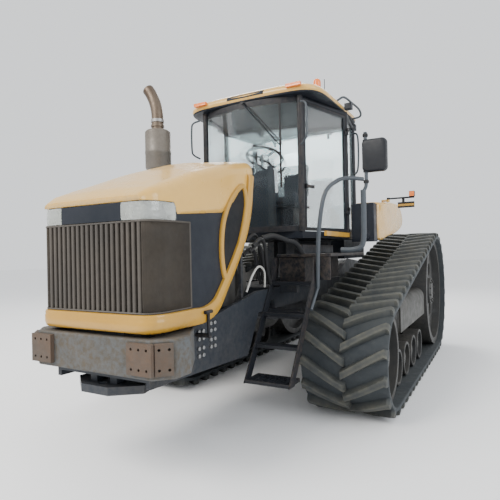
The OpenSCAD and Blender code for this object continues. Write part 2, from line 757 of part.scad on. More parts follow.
module grille() {
    color([0.25, 0.23, 0.21]) {
        difference() {
            block([-440, -3120, 1129], [440, -3085, 1700]);
            block([-420, -3200, 1170], [420, -3050, 1660]);
        }
        for (i = [0 : rib_n - 1])
            block([-410 + i * 820 / (rib_n - 1) - 12, -3125, 1160],
                [-410 + i * 820 / (rib_n - 1) + 12, -3085, 1670]);
        both_sides() plan_slab([[440.5, -3120], [450, -3120], [512, -3020], [512, -2742],
            [496, -2742], [496, -3010], [440.5, -3100]], 1129, 1700);
    }
}
module headlights() {
    color([0.75, 0.77, 0.75]) both_sides()
        plan_slab([[250, -3122], [440, -3122], [500, -3020], [500, -2890], [470, -2890],
            [470, -3000], [425, -3080], [250, -3080]], 1702, 1822);
    color([0.08, 0.09, 0.11]) block([-249, -3120, 1702], [249, -3080, 1822]);
}

module latch(s) {
    color([0.1, 0.1, 0.1]) {
        rod([s * 548, -2600, 925], [s * 548, -2600, 1085], 11);
        rod([s * 548, -2640, 1090], [s * 548, -2560, 1090], 13);
        shaft(s > 0 ? 443 : -560, s > 0 ? 560 : -443, -2600, 925, 16);
    }
}
module latch_left() { latch(1); }
module latch_right() { latch(-1); }

// ---- Wipers and lamps that move ----------------------------------------------------

wiper_y = -1112;
wiper_hub = [0, wiper_y, 3050];
wiper_tip = [420, wiper_y, 2560];
module wiper_arm() {
    color([0.05, 0.05, 0.05]) {
        rod(wiper_hub + [0, 30, 0], wiper_hub - [0, 14, 0], 16);
        rod(wiper_hub, wiper_tip, 7);
        rod(wiper_hub + [34, 0, 0], wiper_tip + [34, 0, 0], 5);
        rod(wiper_hub, wiper_hub + [34, 0, 0], 7);
    }
}
module wiper_blade() {
    color([0.04, 0.04, 0.04]) {
        block([wiper_tip[0] - 8, wiper_y + 10, wiper_tip[2] - 420],
            [wiper_tip[0] + 8, wiper_y + 24, wiper_tip[2] + 420]);
        rod(wiper_tip + [0, 12, 0], wiper_tip + [0, 8, 0], 10);
    }
}

module lamp_arm(s) {
    y = 410;
    x0 = 1140;
    color([0.12, 0.13, 0.15]) mirror([s > 0 ? 0 : 1, 0, 0]) {
        translate([x0, y, 2099]) cylinder(r = 18, h = 24);
        rod([x0, y, 2110], [1440, y, 2110], 10);
        block([1250, y - 4, 1990], [1440, y + 4, 2060]);
        block([1300, y - 4, 2055], [1330, y + 4, 2105]);
        block([1385, y - 25, 2118], [1445, y + 25, 2180]);
    }
}
module lamp_arm_left() { lamp_arm(1); }
module lamp_arm_right() { lamp_arm(-1); }

main_frame();
front_bracket();
ballast_pads();
frame_bolts();
engine();
radiator();
cooling_fan();
transmission();
fuel_tank();
fenders();
deck();
ladder();
rails();
mirror_left();
mirror_right();
cab_floor();
cab_frame();
roof_shell();
roof_liner();
cab_glass();
rear_window();
door_frame();
door_glass();
consoles();
steering_wheel();
seat_base();
seat_cushion();
seat_back();
muffler();
exhaust_stack();
lamps();
hood_shell();
hood_band();
grille();
hood_sides();
headlights();
latch_left();
latch_right();
wiper_arm();
wiper_blade();
lamp_arm_left();
lamp_arm_right();
drawbar();
hard_bar();
belt_left();
belt_right();
track_frame_left();
track_frame_right();
drive_wheel_left();
drive_wheel_right();
idler_left();
idler_right();
roller_left_1();
roller_left_2();
roller_left_3();
roller_left_4();
roller_right_1();
roller_right_2();
roller_right_3();
roller_right_4();
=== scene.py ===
"""Looks of a large field tractor on two rubber belts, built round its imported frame.

The nose faces -Y and the operator's left side is +X. All lengths are in metres.
"""

import json
import logging
import math
from dataclasses import dataclass
from enum import Enum
from typing import Optional, Sequence

import bmesh
import bpy
import numpy as np
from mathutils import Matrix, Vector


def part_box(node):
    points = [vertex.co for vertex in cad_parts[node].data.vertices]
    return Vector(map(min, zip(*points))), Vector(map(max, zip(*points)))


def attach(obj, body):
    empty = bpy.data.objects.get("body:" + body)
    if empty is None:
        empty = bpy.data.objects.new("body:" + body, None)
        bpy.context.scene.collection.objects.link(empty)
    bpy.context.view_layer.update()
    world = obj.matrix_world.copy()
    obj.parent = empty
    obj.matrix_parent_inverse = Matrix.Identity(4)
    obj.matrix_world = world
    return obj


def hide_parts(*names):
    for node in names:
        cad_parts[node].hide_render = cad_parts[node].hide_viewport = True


Colour = tuple[float, float, float]
Point = tuple[float, float, float]

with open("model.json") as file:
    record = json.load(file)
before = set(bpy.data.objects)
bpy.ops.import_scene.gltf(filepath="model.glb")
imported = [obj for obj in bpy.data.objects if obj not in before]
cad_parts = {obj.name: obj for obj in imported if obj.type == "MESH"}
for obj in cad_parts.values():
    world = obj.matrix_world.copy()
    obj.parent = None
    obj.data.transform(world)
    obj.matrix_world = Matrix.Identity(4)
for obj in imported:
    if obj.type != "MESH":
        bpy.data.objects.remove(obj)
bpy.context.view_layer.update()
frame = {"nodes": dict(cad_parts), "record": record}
log = logging.getLogger("tractor")


# ---- Shader node groups used by several finishes --------------------------------------


class Tree:
    """A thin wrapper that adds and joins the nodes of one shader tree."""

    def __init__(self, tree: bpy.types.NodeTree) -> None:
        """Keeps the tree that nodes are added to."""
        self.tree = tree

    def add(self, kind: str, **settings: object) -> bpy.types.Node:
        """Adds a node and sets its properties.

        Args:
            kind: the node's type name.
            settings: property names and values.

        Returns:
            The new node.
        """
        node = self.tree.nodes.new(kind)
        for name, value in settings.items():
            setattr(node, name, value)
        return node

    def join(self, source: bpy.types.NodeSocket, target: bpy.types.NodeSocket) -> None:
        """Links an output to an input."""
        self.tree.links.new(source, target)

    def maths(self, operation: str, a: object, b: object = None) -> bpy.types.NodeSocket:
        """Adds a Math node.

        Args:
            operation: the node's operation.
            a: first value or socket.
            b: second value or socket, if the operation has one.

        Returns:
            The node's output.
        """
        node = self.add("ShaderNodeMath", operation=operation)
        for socket, value in zip(node.inputs, (a, b)):
            if isinstance(value, bpy.types.NodeSocket):
                self.join(value, socket)
            elif value is not None:
                socket.default_value = value
        return node.outputs[0]

    def noise(self, scale: object, detail: float, rough: float = 0.55) -> bpy.types.NodeSocket:
        """Adds noise on Object coordinates.

        Args:
            scale: the noise's scale, as a number or a socket.
            detail: octaves of detail.
            rough: roughness of the octaves.

        Returns:
            The noise's value.
        """
        place = self.add("ShaderNodeTexCoord")
        node = self.add("ShaderNodeTexNoise")
        self.join(place.outputs["Object"], node.inputs["Vector"])
        if isinstance(scale, bpy.types.NodeSocket):
            self.join(scale, node.inputs["Scale"])
        else:
            node.inputs["Scale"].default_value = scale
        node.inputs["Detail"].default_value = detail
        node.inputs["Roughness"].default_value = rough
        return node.outputs[0]

    def spread(self, value: object, low: float, high: float, to_low: float,
               to_high: float) -> bpy.types.NodeSocket:
        """Maps a value from one range to another, clamped.

        Args:
            value: the socket to map.
            low: start of its range.
            high: end of its range.
            to_low: result at the start.
            to_high: result at the end.

        Returns:
            The mapped value.
        """
        node = self.add("ShaderNodeMapRange")
        self.join(value, node.inputs[0])
        for socket, number in zip(node.inputs[1:5], (low, high, to_low, to_high)):
            socket.default_value = number
        return node.outputs[0]

    def blend(self, mask: object, a: object, b: object) -> bpy.types.NodeSocket:
        """Mixes two colours.

        Args:
            mask: socket or number, 0 gives a and 1 gives b.
            a: first colour or socket.
            b: second colour or socket.

        Returns:
            The mixed colour.
        """
        node = self.add("ShaderNodeMix", data_type="RGBA")
        for socket, value in ((node.inputs[0], mask), (node.inputs[6], a), (node.inputs[7], b)):
            if isinstance(value, bpy.types.NodeSocket):
                self.join(value, socket)
            elif isinstance(value, tuple):
                socket.default_value = (*value, 1.0)
            else:
                socket.default_value = value
        return node.outputs[2]


def new_group(name: str, takes: dict[str, object], gives: dict[str, str]
              ) -> tuple[bpy.types.ShaderNodeTree, Tree, dict, dict]:
    """Starts a shader node group.

    Args:
        name: the group's name.
        takes: input names with a default number or colour.
        gives: output names with their socket types.

    Returns:
        The group, its Tree, and its input and output sockets by name.
    """
    tree = bpy.data.node_groups.new(name, "ShaderNodeTree")
    for label, default in takes.items():
        kind = "NodeSocketColor" if isinstance(default, tuple) else "NodeSocketFloat"
        socket = tree.interface.new_socket(label, in_out="INPUT", socket_type=kind)
        socket.default_value = (*default, 1.0) if isinstance(default, tuple) else default
    for label, kind in gives.items():
        tree.interface.new_socket(label, in_out="OUTPUT", socket_type=kind)
    work = Tree(tree)
    start = work.add("NodeGroupInput")
    end = work.add("NodeGroupOutput")
    inputs = {s.name: s for s in start.outputs if s.name}
    outputs = {s.name: s for s in end.inputs if s.name}
    return tree, work, inputs, outputs


def dust_group() -> bpy.types.ShaderNodeTree:
    """Mask of dust that settles on faces that look up and in patches elsewhere."""
    tree, work, takes, gives = new_group(
        "settled_dust", {"Amount": 0.3, "Scale": 3.0}, {"Mask": "NodeSocketFloat"})
    normal = work.add("ShaderNodeNewGeometry").outputs["Normal"]
    split = work.add("ShaderNodeSeparateXYZ")
    work.join(normal, split.inputs[0])
    up = work.spread(split.outputs["Z"], -0.3, 0.95, 0.25, 1.0)
    patches = work.spread(work.noise(takes["Scale"], 6.0, 0.62), 0.36, 0.68, 0.15, 1.0)
    fine = work.spread(work.noise(140.0, 3.0), 0.3, 0.7, 0.7, 1.1)
    mask = work.maths("MULTIPLY", work.maths("MULTIPLY", up, patches), fine)
    work.join(work.maths("MULTIPLY", mask, takes["Amount"]), gives["Mask"])
    return tree


def mottle_group() -> bpy.types.ShaderNodeTree:
    """Slow change between two colours, with a finer change laid over it."""
    tree, work, takes, gives = new_group(
        "mottle", {"Base": (0.5, 0.5, 0.5), "Shade": (0.4, 0.4, 0.4), "Scale": 2.0},
        {"Color": "NodeSocketColor"})
    broad = work.noise(takes["Scale"], 4.0)
    fine = work.noise(work.maths("MULTIPLY", takes["Scale"], 14.0), 3.0)
    both = work.maths("ADD", work.maths("MULTIPLY", broad, 0.7), work.maths("MULTIPLY", fine, 0.3))
    mask = work.spread(both, 0.38, 0.62, 0.0, 1.0)
    work.join(work.blend(mask, takes["Base"], takes["Shade"]), gives["Color"])
    return tree


def grain_group() -> bpy.types.ShaderNodeTree:
    """Height of a fine grain with soft waves under it, for bump."""
    tree, work, takes, gives = new_group(
        "fine_grain", {"Scale": 200.0}, {"Height": "NodeSocketFloat"})
    fine = work.noise(takes["Scale"], 3.0)
    waves = work.noise(work.maths("MULTIPLY", takes["Scale"], 0.04), 2.0)
    work.join(work.maths("ADD", fine, work.maths("MULTIPLY", waves, 1.5)), gives["Height"])
    return tree


def wear_group() -> bpy.types.ShaderNodeTree:
    """Mask of worn edges: high where the surface bends outwards, broken up by noise."""
    tree, work, takes, gives = new_group(
        "edge_wear", {"Amount": 0.5}, {"Mask": "NodeSocketFloat"})
    bend = work.add("ShaderNodeNewGeometry").outputs["Pointiness"]
    edge = work.spread(bend, 0.515, 0.60, 0.0, 1.0)
    broken = work.spread(work.noise(28.0, 6.0, 0.7), 0.4, 0.6, 0.0, 1.0)
    mask = work.maths("MULTIPLY", work.maths("MULTIPLY", edge, broken), takes["Amount"])
    work.join(mask, gives["Mask"])
    return tree


class Pattern(Enum):
    """A relief that a finish adds to its fine grain."""

    PLAIN = "plain"
    PUNCHED = "punched"
    WOVEN = "woven"
    FLUTED = "fluted"
    TREAD = "tread"


GROUPS: dict[str, bpy.types.ShaderNodeTree] = {}


@dataclass(frozen=True)
class Finish:
    """One surface finish and the numbers that set its look."""

    name: str
    base: Colour
    shade: Colour
    slot: str
    rough: float = 0.5
    metallic: float = 0.0
    coat: float = 0.0
    mottle: float = 2.0
    dust: float = 0.2
    dust_colour: Colour = (0.36, 0.28, 0.19)
    grain: float = 260.0
    relief: float = 0.0006
    wear: float = 0.0
    wear_colour: Colour = (0.35, 0.33, 0.30)
    pattern: Pattern = Pattern.PLAIN
    transmission: float = 0.0
    alpha: float = 1.0
    specular: float = 0.5

    def group(self, work: Tree, name: str, **values: object) -> bpy.types.Node:
        """Places a shared group with this finish's own values.

        Args:
            work: the material's tree.
            name: the group's name in GROUPS.
            values: input values by name.

        Returns:
            The group's node.
        """
        node = work.add("ShaderNodeGroup")
        node.node_tree = GROUPS[name]
        for label, value in values.items():
            node.inputs[label].default_value = (*value, 1.0) if isinstance(value, tuple) else value
        return node

    def extra_height(self, work: Tree) -> Optional[bpy.types.NodeSocket]:
        """The height of the finish's own pattern, or None for a plain one."""
        place = work.add("ShaderNodeTexCoord").outputs["Object"]
        if self.pattern is Pattern.PUNCHED:
            dots = work.add("ShaderNodeTexVoronoi", feature="F1")
            dots.inputs["Scale"].default_value = 120.0
            dots.inputs["Randomness"].default_value = 0.0
            work.join(place, dots.inputs["Vector"])
            return work.spread(dots.outputs["Distance"], 0.25, 0.42, 0.0, 1.0)
        if self.pattern in (Pattern.WOVEN, Pattern.FLUTED):
            bands = []
            ways = ("X", "Z") if self.pattern is Pattern.WOVEN else ("Z",)
            for way in ways:
                wave = work.add("ShaderNodeTexWave", wave_type="BANDS", bands_direction=way)
                wave.inputs["Scale"].default_value = 60.0 if self.pattern is Pattern.WOVEN else 9.0
                work.join(place, wave.inputs["Vector"])
                bands.append(wave.outputs["Fac"])
            return bands[0] if len(bands) == 1 else work.maths("MAXIMUM", bands[0], bands[1])
        if self.pattern is Pattern.TREAD:
            return work.maths("MULTIPLY", work.noise(42.0, 8.0, 0.7), 2.5)
        return None

    def make(self) -> bpy.types.Material:
        """Builds the material.

        Returns:
            The new material.
        """
        material = bpy.data.materials.new(self.name)
        material.use_nodes = True
        work = Tree(material.node_tree)
        shader = material.node_tree.nodes["Principled BSDF"]
        shader.inputs["Metallic"].default_value = self.metallic
        shader.inputs["Coat Weight"].default_value = self.coat
        shader.inputs["Coat Roughness"].default_value = 0.12
        shader.inputs["Transmission Weight"].default_value = self.transmission
        shader.inputs["Alpha"].default_value = self.alpha
        shader.inputs["Specular IOR Level"].default_value = self.specular
        colour = self.group(work, "mottle", Base=self.base, Shade=self.shade,
                            Scale=self.mottle).outputs["Color"]
        if self.wear:
            worn = self.group(work, "edge_wear", Amount=self.wear).outputs["Mask"]
            colour = work.blend(worn, colour, self.wear_colour)
        if self.pattern is Pattern.TREAD:
            edge = work.add("ShaderNodeAttribute", attribute_name="worn").outputs["Fac"]
            patchy = work.spread(work.noise(9.0, 7.0, 0.7), 0.35, 0.65, 0.25, 1.0)
            colour = work.blend(work.maths("MULTIPLY", edge, patchy), colour, self.wear_colour)
        roughness = work.spread(work.noise(self.mottle * 5.0, 5.0), 0.3, 0.7,
                                max(self.rough - 0.07, 0.02), min(self.rough + 0.12, 1.0))
        if self.dust:
            dust = self.group(work, "settled_dust", Amount=self.dust, Scale=2.6).outputs["Mask"]
            colour = work.blend(dust, colour, self.dust_colour)
            rougher = work.maths("MULTIPLY", dust, 0.6)
            roughness = work.maths("MINIMUM", work.maths("ADD", roughness, rougher), 1.0)
        work.join(colour, shader.inputs["Base Color"])
        work.join(roughness, shader.inputs["Roughness"])
        height = self.group(work, "fine_grain", Scale=self.grain).outputs["Height"]
        extra = self.extra_height(work)
        if extra is not None:
            height = work.maths("ADD", work.maths("MULTIPLY", height, 0.25), extra)
        bump = work.add("ShaderNodeBump")
        bump.inputs["Strength"].default_value = 0.5
        bump.inputs["Distance"].default_value = self.relief
        work.join(height, bump.inputs["Height"])
        work.join(bump.outputs["Normal"], shader.inputs["Normal"])
        return material


YELLOW = Finish("sun_faded_yellow", (0.66, 0.385, 0.075), (0.61, 0.345, 0.06), "yellow", 0.26,
                coat=0.45, mottle=1.4, dust=0.16, dust_colour=(0.62, 0.50, 0.30), grain=420.0,
                relief=0.0003, wear=0.25, wear_colour=(0.25, 0.2, 0.15))
BAND_YELLOW = Finish("deep_yellow", (0.46, 0.245, 0.02), (0.40, 0.21, 0.016), "yellow", 0.32,
                     coat=0.3, mottle=2.0, dust=0.16, dust_colour=(0.45, 0.3, 0.14), relief=0.0003)
DARK_PLASTIC = Finish("moulded_blue_black", (0.009, 0.012, 0.018), (0.014, 0.017, 0.024),
                      "dark_plastic", 0.38, dust=0.05, dust_colour=(0.12, 0.115, 0.11), grain=600.0,
                      specular=0.22)
BLACK_STEEL = Finish("satin_black_steel", (0.008, 0.010, 0.014), (0.014, 0.016, 0.021),
                     "black_steel", 0.4, dust=0.1, dust_colour=(0.12, 0.10, 0.08), wear=0.5,
                     wear_colour=(0.12, 0.09, 0.065), specular=0.22)
FRAME_GREY = Finish("frame_blue_grey", (0.014, 0.019, 0.027), (0.022, 0.027, 0.035), "frame_grey",
                    0.42, dust=0.14, dust_colour=(0.14, 0.115, 0.09), wear=0.4,
                    wear_colour=(0.13, 0.11, 0.09), specular=0.3)
BRACKET = Finish("dry_mud_grey", (0.066, 0.052, 0.035), (0.042, 0.041, 0.036), "bracket", 0.7,
                 mottle=1.6, dust=0.3, dust_colour=(0.17, 0.125, 0.08), relief=0.0015, grain=90.0,
                 wear=0.8, wear_colour=(0.09, 0.12, 0.15))
PAD = Finish("rusty_pad", (0.085, 0.052, 0.033), (0.06, 0.049, 0.040), "bracket", 0.75, mottle=5.0,
             dust=0.25, dust_colour=(0.17, 0.12, 0.08), relief=0.0012, grain=110.0)
BOLT = Finish("zinc_bolt", (0.36, 0.37, 0.38), (0.25, 0.25, 0.25), "steel", 0.4, metallic=0.85,
              dust=0.3)
IRON = Finish("painted_iron", (0.035, 0.036, 0.036), (0.05, 0.048, 0.043), "engine", 0.6, dust=0.25,
              dust_colour=(0.16, 0.13, 0.1), relief=0.001, grain=120.0)
RAIL = Finish("grey_tube", (0.055, 0.066, 0.078), (0.042, 0.05, 0.06), "rail_grey", 0.36, dust=0.12,
              dust_colour=(0.2, 0.19, 0.17), specular=0.35)
RUBBER = Finish("dusty_tread_rubber", (0.015, 0.021, 0.027), (0.024, 0.030, 0.034), "rubber", 0.66,
                mottle=2.4, dust=0.2, dust_colour=(0.11, 0.105, 0.085), relief=0.0016, grain=150.0,
                wear_colour=(0.085, 0.083, 0.066), pattern=Pattern.TREAD)
TRIM_RUBBER = Finish("black_rubber", (0.009, 0.010, 0.012), (0.014, 0.015, 0.017), "rubber", 0.55,
                     dust=0.06, specular=0.25)
WHEEL = Finish("dark_cast_wheel", (0.022, 0.024, 0.026), (0.034, 0.034, 0.032), "wheel", 0.58,
               dust=0.22, dust_colour=(0.15, 0.125, 0.095), relief=0.001, grain=130.0, wear=0.4,
               wear_colour=(0.14, 0.12, 0.1))
COVER = Finish("dusty_cover_grey", (0.028, 0.028, 0.026), (0.042, 0.040, 0.034), "cover", 0.5,
               dust=0.2, dust_colour=(0.13, 0.115, 0.09), relief=0.0008, specular=0.3)
GRILLE = Finish("dusty_mesh", (0.022, 0.018, 0.014), (0.035, 0.028, 0.021), "grille", 0.7,
                dust=0.2, dust_colour=(0.11, 0.085, 0.06), relief=0.003, pattern=Pattern.PUNCHED,
                specular=0.3)
VENT_MESH = Finish("black_mesh", (0.006, 0.007, 0.009), (0.010, 0.011, 0.013), "grille", 0.6,
                   dust=0.06, relief=0.003, pattern=Pattern.PUNCHED, specular=0.2)
RIB = Finish("grille_rib", (0.05, 0.044, 0.038), (0.068, 0.058, 0.048), "grille", 0.5, dust=0.2,
             dust_colour=(0.13, 0.105, 0.08), specular=0.35)
CORE = Finish("radiator_core", (0.006, 0.006, 0.007), (0.012, 0.012, 0.012), "core", 0.8, dust=0.1)
CHROME = Finish("lamp_reflector", (0.75, 0.76, 0.75), (0.6, 0.61, 0.6), "lens", 0.14, metallic=1.0,
                dust=0.1)
LENS = Finish("hazed_lens", (0.80, 0.83, 0.80), (0.70, 0.73, 0.68), "lens", 0.12, coat=0.5,
              dust=0.12, dust_colour=(0.55, 0.5, 0.4), relief=0.002, pattern=Pattern.FLUTED,
              transmission=0.7, mottle=14.0)
GLASS = Finish("tinted_glass", (0.62, 0.84, 0.86), (0.58, 0.81, 0.84), "glass", 0.04, dust=0.03,
               dust_colour=(0.7, 0.68, 0.6), relief=0.0001, transmission=1.0, alpha=0.26)
AMBER = Finish("amber_lens", (0.85, 0.20, 0.02), (0.78, 0.15, 0.015), "amber", 0.2, coat=0.4,
               dust=0.1, relief=0.002, pattern=Pattern.FLUTED)
RED = Finish("red_lens", (0.6, 0.03, 0.015), (0.5, 0.02, 0.012), "amber", 0.25, coat=0.4, dust=0.15,
             relief=0.002, pattern=Pattern.FLUTED)
MUFFLER = Finish("heat_grey", (0.11, 0.098, 0.085), (0.16, 0.143, 0.12), "muffler", 0.5,
                 metallic=0.3, dust=0.2, mottle=3.5, relief=0.0008)
STACK = Finish("heat_brown_steel", (0.075, 0.05, 0.034), (0.13, 0.10, 0.075), "stack", 0.42,
               metallic=0.7, dust=0.12, mottle=5.0)
CLOTH = Finish("seat_cloth", (0.02, 0.026, 0.036), (0.03, 0.036, 0.048), "fabric", 0.9, dust=0.06,
               relief=0.0018, pattern=Pattern.WOVEN)
MIRROR_SHELL = Finish("mirror_shell", (0.010, 0.012, 0.016), (0.016, 0.018, 0.022), "mirror", 0.4,
                      dust=0.05, grain=700.0, specular=0.25)
SILVERED = Finish("silvered_glass", (0.8, 0.82, 0.84), (0.76, 0.79, 0.81), "mirror", 0.05,
                  metallic=1.0, dust=0.05)
WHITE_HOSE = Finish("pale_hose", (0.5, 0.5, 0.48), (0.4, 0.4, 0.37), "rubber", 0.5, dust=0.3)
ALL_FINISHES = (YELLOW, BAND_YELLOW, DARK_PLASTIC, BLACK_STEEL, FRAME_GREY, BRACKET, PAD, BOLT,
                IRON, RAIL, RUBBER, TRIM_RUBBER, WHEEL, COVER, GRILLE, VENT_MESH, RIB, CORE, CHROME,
                LENS, GLASS, AMBER, RED, MUFFLER, STACK, CLOTH, MIRROR_SHELL, SILVERED, WHITE_HOSE)
MATERIALS: dict[str, bpy.types.Material] = {}


def make_finishes() -> None:
    """Builds the shared groups once, then every finish's material."""
    GROUPS.update(settled_dust=dust_group(), mottle=mottle_group(), fine_grain=grain_group(),
                  edge_wear=wear_group())
    for finish in ALL_FINISHES:
        MATERIALS[finish.name] = finish.make()


# ---- Surfaces --------------------------------------------------------------------------


def unit(vectors: np.ndarray) -> np.ndarray:
    """Vectors divided by their lengths."""
    return vectors / np.maximum(np.linalg.norm(vectors, axis=-1, keepdims=True), 1e-9)


def smooth_path(points: Sequence[Point], steps: int = 8) -> np.ndarray:
    """A Catmull-Rom curve through the points: each stretch is a cubic whose end slopes are half
    the chord between the neighbours.

    Args:
        points: the points that the curve passes.
        steps: how many samples each stretch gets.

    Returns:
        The samples, one row each.
    """
    p = np.asarray(points, float)
    p = np.vstack([2 * p[0] - p[1], p, 2 * p[-1] - p[-2]])
    t = np.linspace(0, 1, steps, endpoint=False)[None, :, None]
    a, b, c, d = (p[i:len(p) - 3 + i, None, :] for i in range(4))
    curve = 0.5 * (2 * b + (c - a) * t + (2 * a - 5 * b + 4 * c - d) * t ** 2
                   + (3 * b - a - 3 * c + d) * t ** 3)
    return np.vstack([curve.reshape(-1, 3), p[-2]])


def frames_along(path: np.ndarray) -> tuple[np.ndarray, np.ndarray]:
    """Two side directions at each point of a path, carried along it without twist.

    Args:
        path: the path's points.

    Returns:
        The two unit side directions at each point.
    """
    ahead = unit(np.gradient(path, axis=0))
    guess = np.array([0.0, 0.0, 1.0]) if abs(ahead[0, 2]) < 0.9 else np.array([1.0, 0.0, 0.0])
    sides = []
    side = guess
    for direction in ahead:
        side = side - direction * (side @ direction)
        side = side / np.linalg.norm(side)
        sides.append(side)
    one = np.array(sides)
    return one, np.cross(ahead, one)


class Shape:
    """Points and faces gathered from grids until they become one piece."""

    def __init__(self) -> None:
        """Starts with nothing."""
        self.points: list[np.ndarray] = []
        self.faces: list[Sequence[int]] = []
        self.worn: list[np.ndarray] = []
        self.count = 0

    def sheet(self, grid: np.ndarray, wrap_u: bool = False, wrap_v: bool = False,
              caps: bool = False, worn: Optional[np.ndarray] = None) -> "Shape":
        """Adds a grid of points as quads.

        Args:
            grid: points in an array of rows, columns and three.
            wrap_u: joins the last row to the first.
            wrap_v: joins the last column to the first.
            caps: closes the first and the last row with one face each.
            worn: how worn each point is, from 0 to 1.

        Returns:
            This shape.
        """
        rows, columns = grid.shape[:2]
        index = np.arange(rows * columns).reshape(rows, columns) + self.count
        ends = (index[0].tolist(), index[-1].tolist()[::-1])
        if wrap_u:
            index = np.vstack([index, index[:1]])
        if wrap_v:
            index = np.hstack([index, index[:, :1]])
        corners = (index[:-1, :-1], index[1:, :-1], index[1:, 1:], index[:-1, 1:])
        self.faces += np.stack(corners, -1).reshape(-1, 4).tolist()
        if caps:
            self.faces += list(ends)
        self.points.append(grid.reshape(-1, 3))
        self.worn.append(np.zeros(rows * columns) if worn is None else worn.reshape(-1))
        self.count += rows * columns
        return self

    def tube(self, path: np.ndarray, radius: object, sides: int = 14, closed: bool = False
             ) -> "Shape":
        """Adds a round tube: each ring is path + r (cos a, sin a) in the path's side directions.

        Args:
            path: the middle line.
            radius: one radius, or one for each point.
            sides: points round each ring.
            closed: joins the end to the start.

        Returns:
            This shape.
        """
        if closed:
            ahead = unit(np.roll(path, -1, 0) - np.roll(path, 1, 0))
            flat = unit(np.cross(ahead, path.mean(0) - path))
            one, two = flat, np.cross(ahead, flat)
        else:
            one, two = frames_along(path)
        angle = np.linspace(0, 2 * np.pi, sides, endpoint=False)[None, :, None]
        size = np.broadcast_to(np.asarray(radius, float), (len(path),))[:, None, None]
        ring = path[:, None] + size * (np.cos(angle) * one[:, None] + np.sin(angle) * two[:, None])
        return self.sheet(ring, wrap_u=closed, wrap_v=True, caps=not closed)

    def spun(self, profile: Sequence[tuple[float, float]], centre: Point, axis: str = "Z",
             sides: int = 40) -> "Shape":
        """Adds a turned body: the profile's (radius, height) pairs swung once round the axis.

        Args:
            profile: radius and height pairs from one end to the other.
            centre: where the axis and height nought lie.
            axis: "X", "Y" or "Z".
            sides: points round the axis.

        Returns:
            This shape.
        """
        rz = np.asarray(profile, float)
        angle = np.linspace(0, 2 * np.pi, sides, endpoint=False)
        ring_a = rz[:, 0, None] * np.cos(angle)
        ring_b = rz[:, 0, None] * np.sin(angle)
        along = np.broadcast_to(rz[:, 1, None], ring_a.shape)
        order = {"Z": (ring_a, ring_b, along), "Y": (ring_a, along, ring_b),
                 "X": (along, ring_a, ring_b)}[axis]
        return self.sheet(np.stack(order, -1) + np.array(centre), wrap_v=True, caps=True)

    def box(self, low: Point, high: Point) -> "Shape":
        """Adds a box from its lowest to its highest corner."""
        (x0, y0, z0), (x1, y1, z1) = low, high
        ring = np.array([[x0, y0], [x1, y0], [x1, y1], [x0, y1]])
        grid = np.stack([np.column_stack([ring, np.full(4, z)]) for z in (z0, z1)])
        return self.sheet(grid, wrap_v=True, caps=True)

    def prism(self, outline: np.ndarray, axis: str, start: float, end: float) -> "Shape":
        """Adds a flat outline carried straight along an axis.

        Args:
            outline: pairs in the other two axes, in X, Y, Z order.
            axis: "X", "Y" or "Z".
            start: where it begins on that axis.
            end: where it ends.

        Returns:
            This shape.
        """
        slot = "XYZ".index(axis)
        grid = np.stack([np.insert(np.asarray(outline, float), slot, at, axis=1)
                         for at in (start, end)])
        return self.sheet(grid, wrap_v=True, caps=True)

    def piece(self, name: str, body: str, finish: Finish, replaces: Sequence[str] = (),
              bevel: float = 0.0, sharp: float = 38.0, segments: int = 2) -> bpy.types.Object:
        """Makes the gathered shape one object that rides on a body.

        Args:
            name: the piece's name.
            body: the body it moves with.
            finish: its finish.
            replaces: CAD nodes it stands for.
            bevel: width of rounded edges, or 0.
            sharp: edges over this angle, in degrees, stay sharp.
            segments: segments of the bevel.

        Returns:
            The new object.
        """
        mesh = bpy.data.meshes.new(name)
        mesh.from_pydata(np.vstack(self.points).tolist(), [], self.faces)
        worn = mesh.attributes.new("worn", "FLOAT", "POINT")
        worn.data.foreach_set("value", np.concatenate(self.worn).astype(np.float32))
        shell = bmesh.new()
        shell.from_mesh(mesh)
        bmesh.ops.remove_doubles(shell, verts=shell.verts, dist=1e-5)
        bmesh.ops.recalc_face_normals(shell, faces=shell.faces)
        shell.to_mesh(mesh)
        shell.free()
        return place(mesh, name, body, finish, replaces, bevel, sharp, segments)


def place(mesh: bpy.types.Mesh, name: str, body: str, finish: Finish, replaces: Sequence[str],
          bevel: float, sharp: float, segments: int = 2) -> bpy.types.Object:
    """Links a mesh as a piece, with its finish, its edges and its body.

    Args:
        mesh: the finished mesh, in place.
        name: the piece's name.
        body: the body it rides on.
        finish: its finish.
        replaces: CAD nodes that it stands for.
        bevel: width of rounded edges, or 0.
        sharp: angle over which an edge stays sharp, in degrees.
        segments: segments of the bevel.

    Returns:
        The new object.
    """
    mesh.shade_smooth()
    mesh.set_sharp_from_angle(angle=math.radians(sharp))
    item = bpy.data.objects.new(name, mesh)
    bpy.context.scene.collection.objects.link(item)
    mesh.materials.clear()
    mesh.materials.append(MATERIALS[finish.name])
    if bevel:
        edge = item.modifiers.new("edges", "BEVEL")
        edge.width = bevel
        edge.segments = segments
        edge.limit_method = "ANGLE"
        edge.angle_limit = math.radians(sharp)
    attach(item, body)
    if replaces:
        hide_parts(*replaces)
    log.info("piece %s: %d faces", name, len(mesh.polygons))
    return item


def body_of(node: str) -> str:
    """The body that a CAD node belongs to."""
    groups = frame["record"]["behaviour"]["bodies"]
    return next(body for body, nodes in groups.items() if node in nodes)


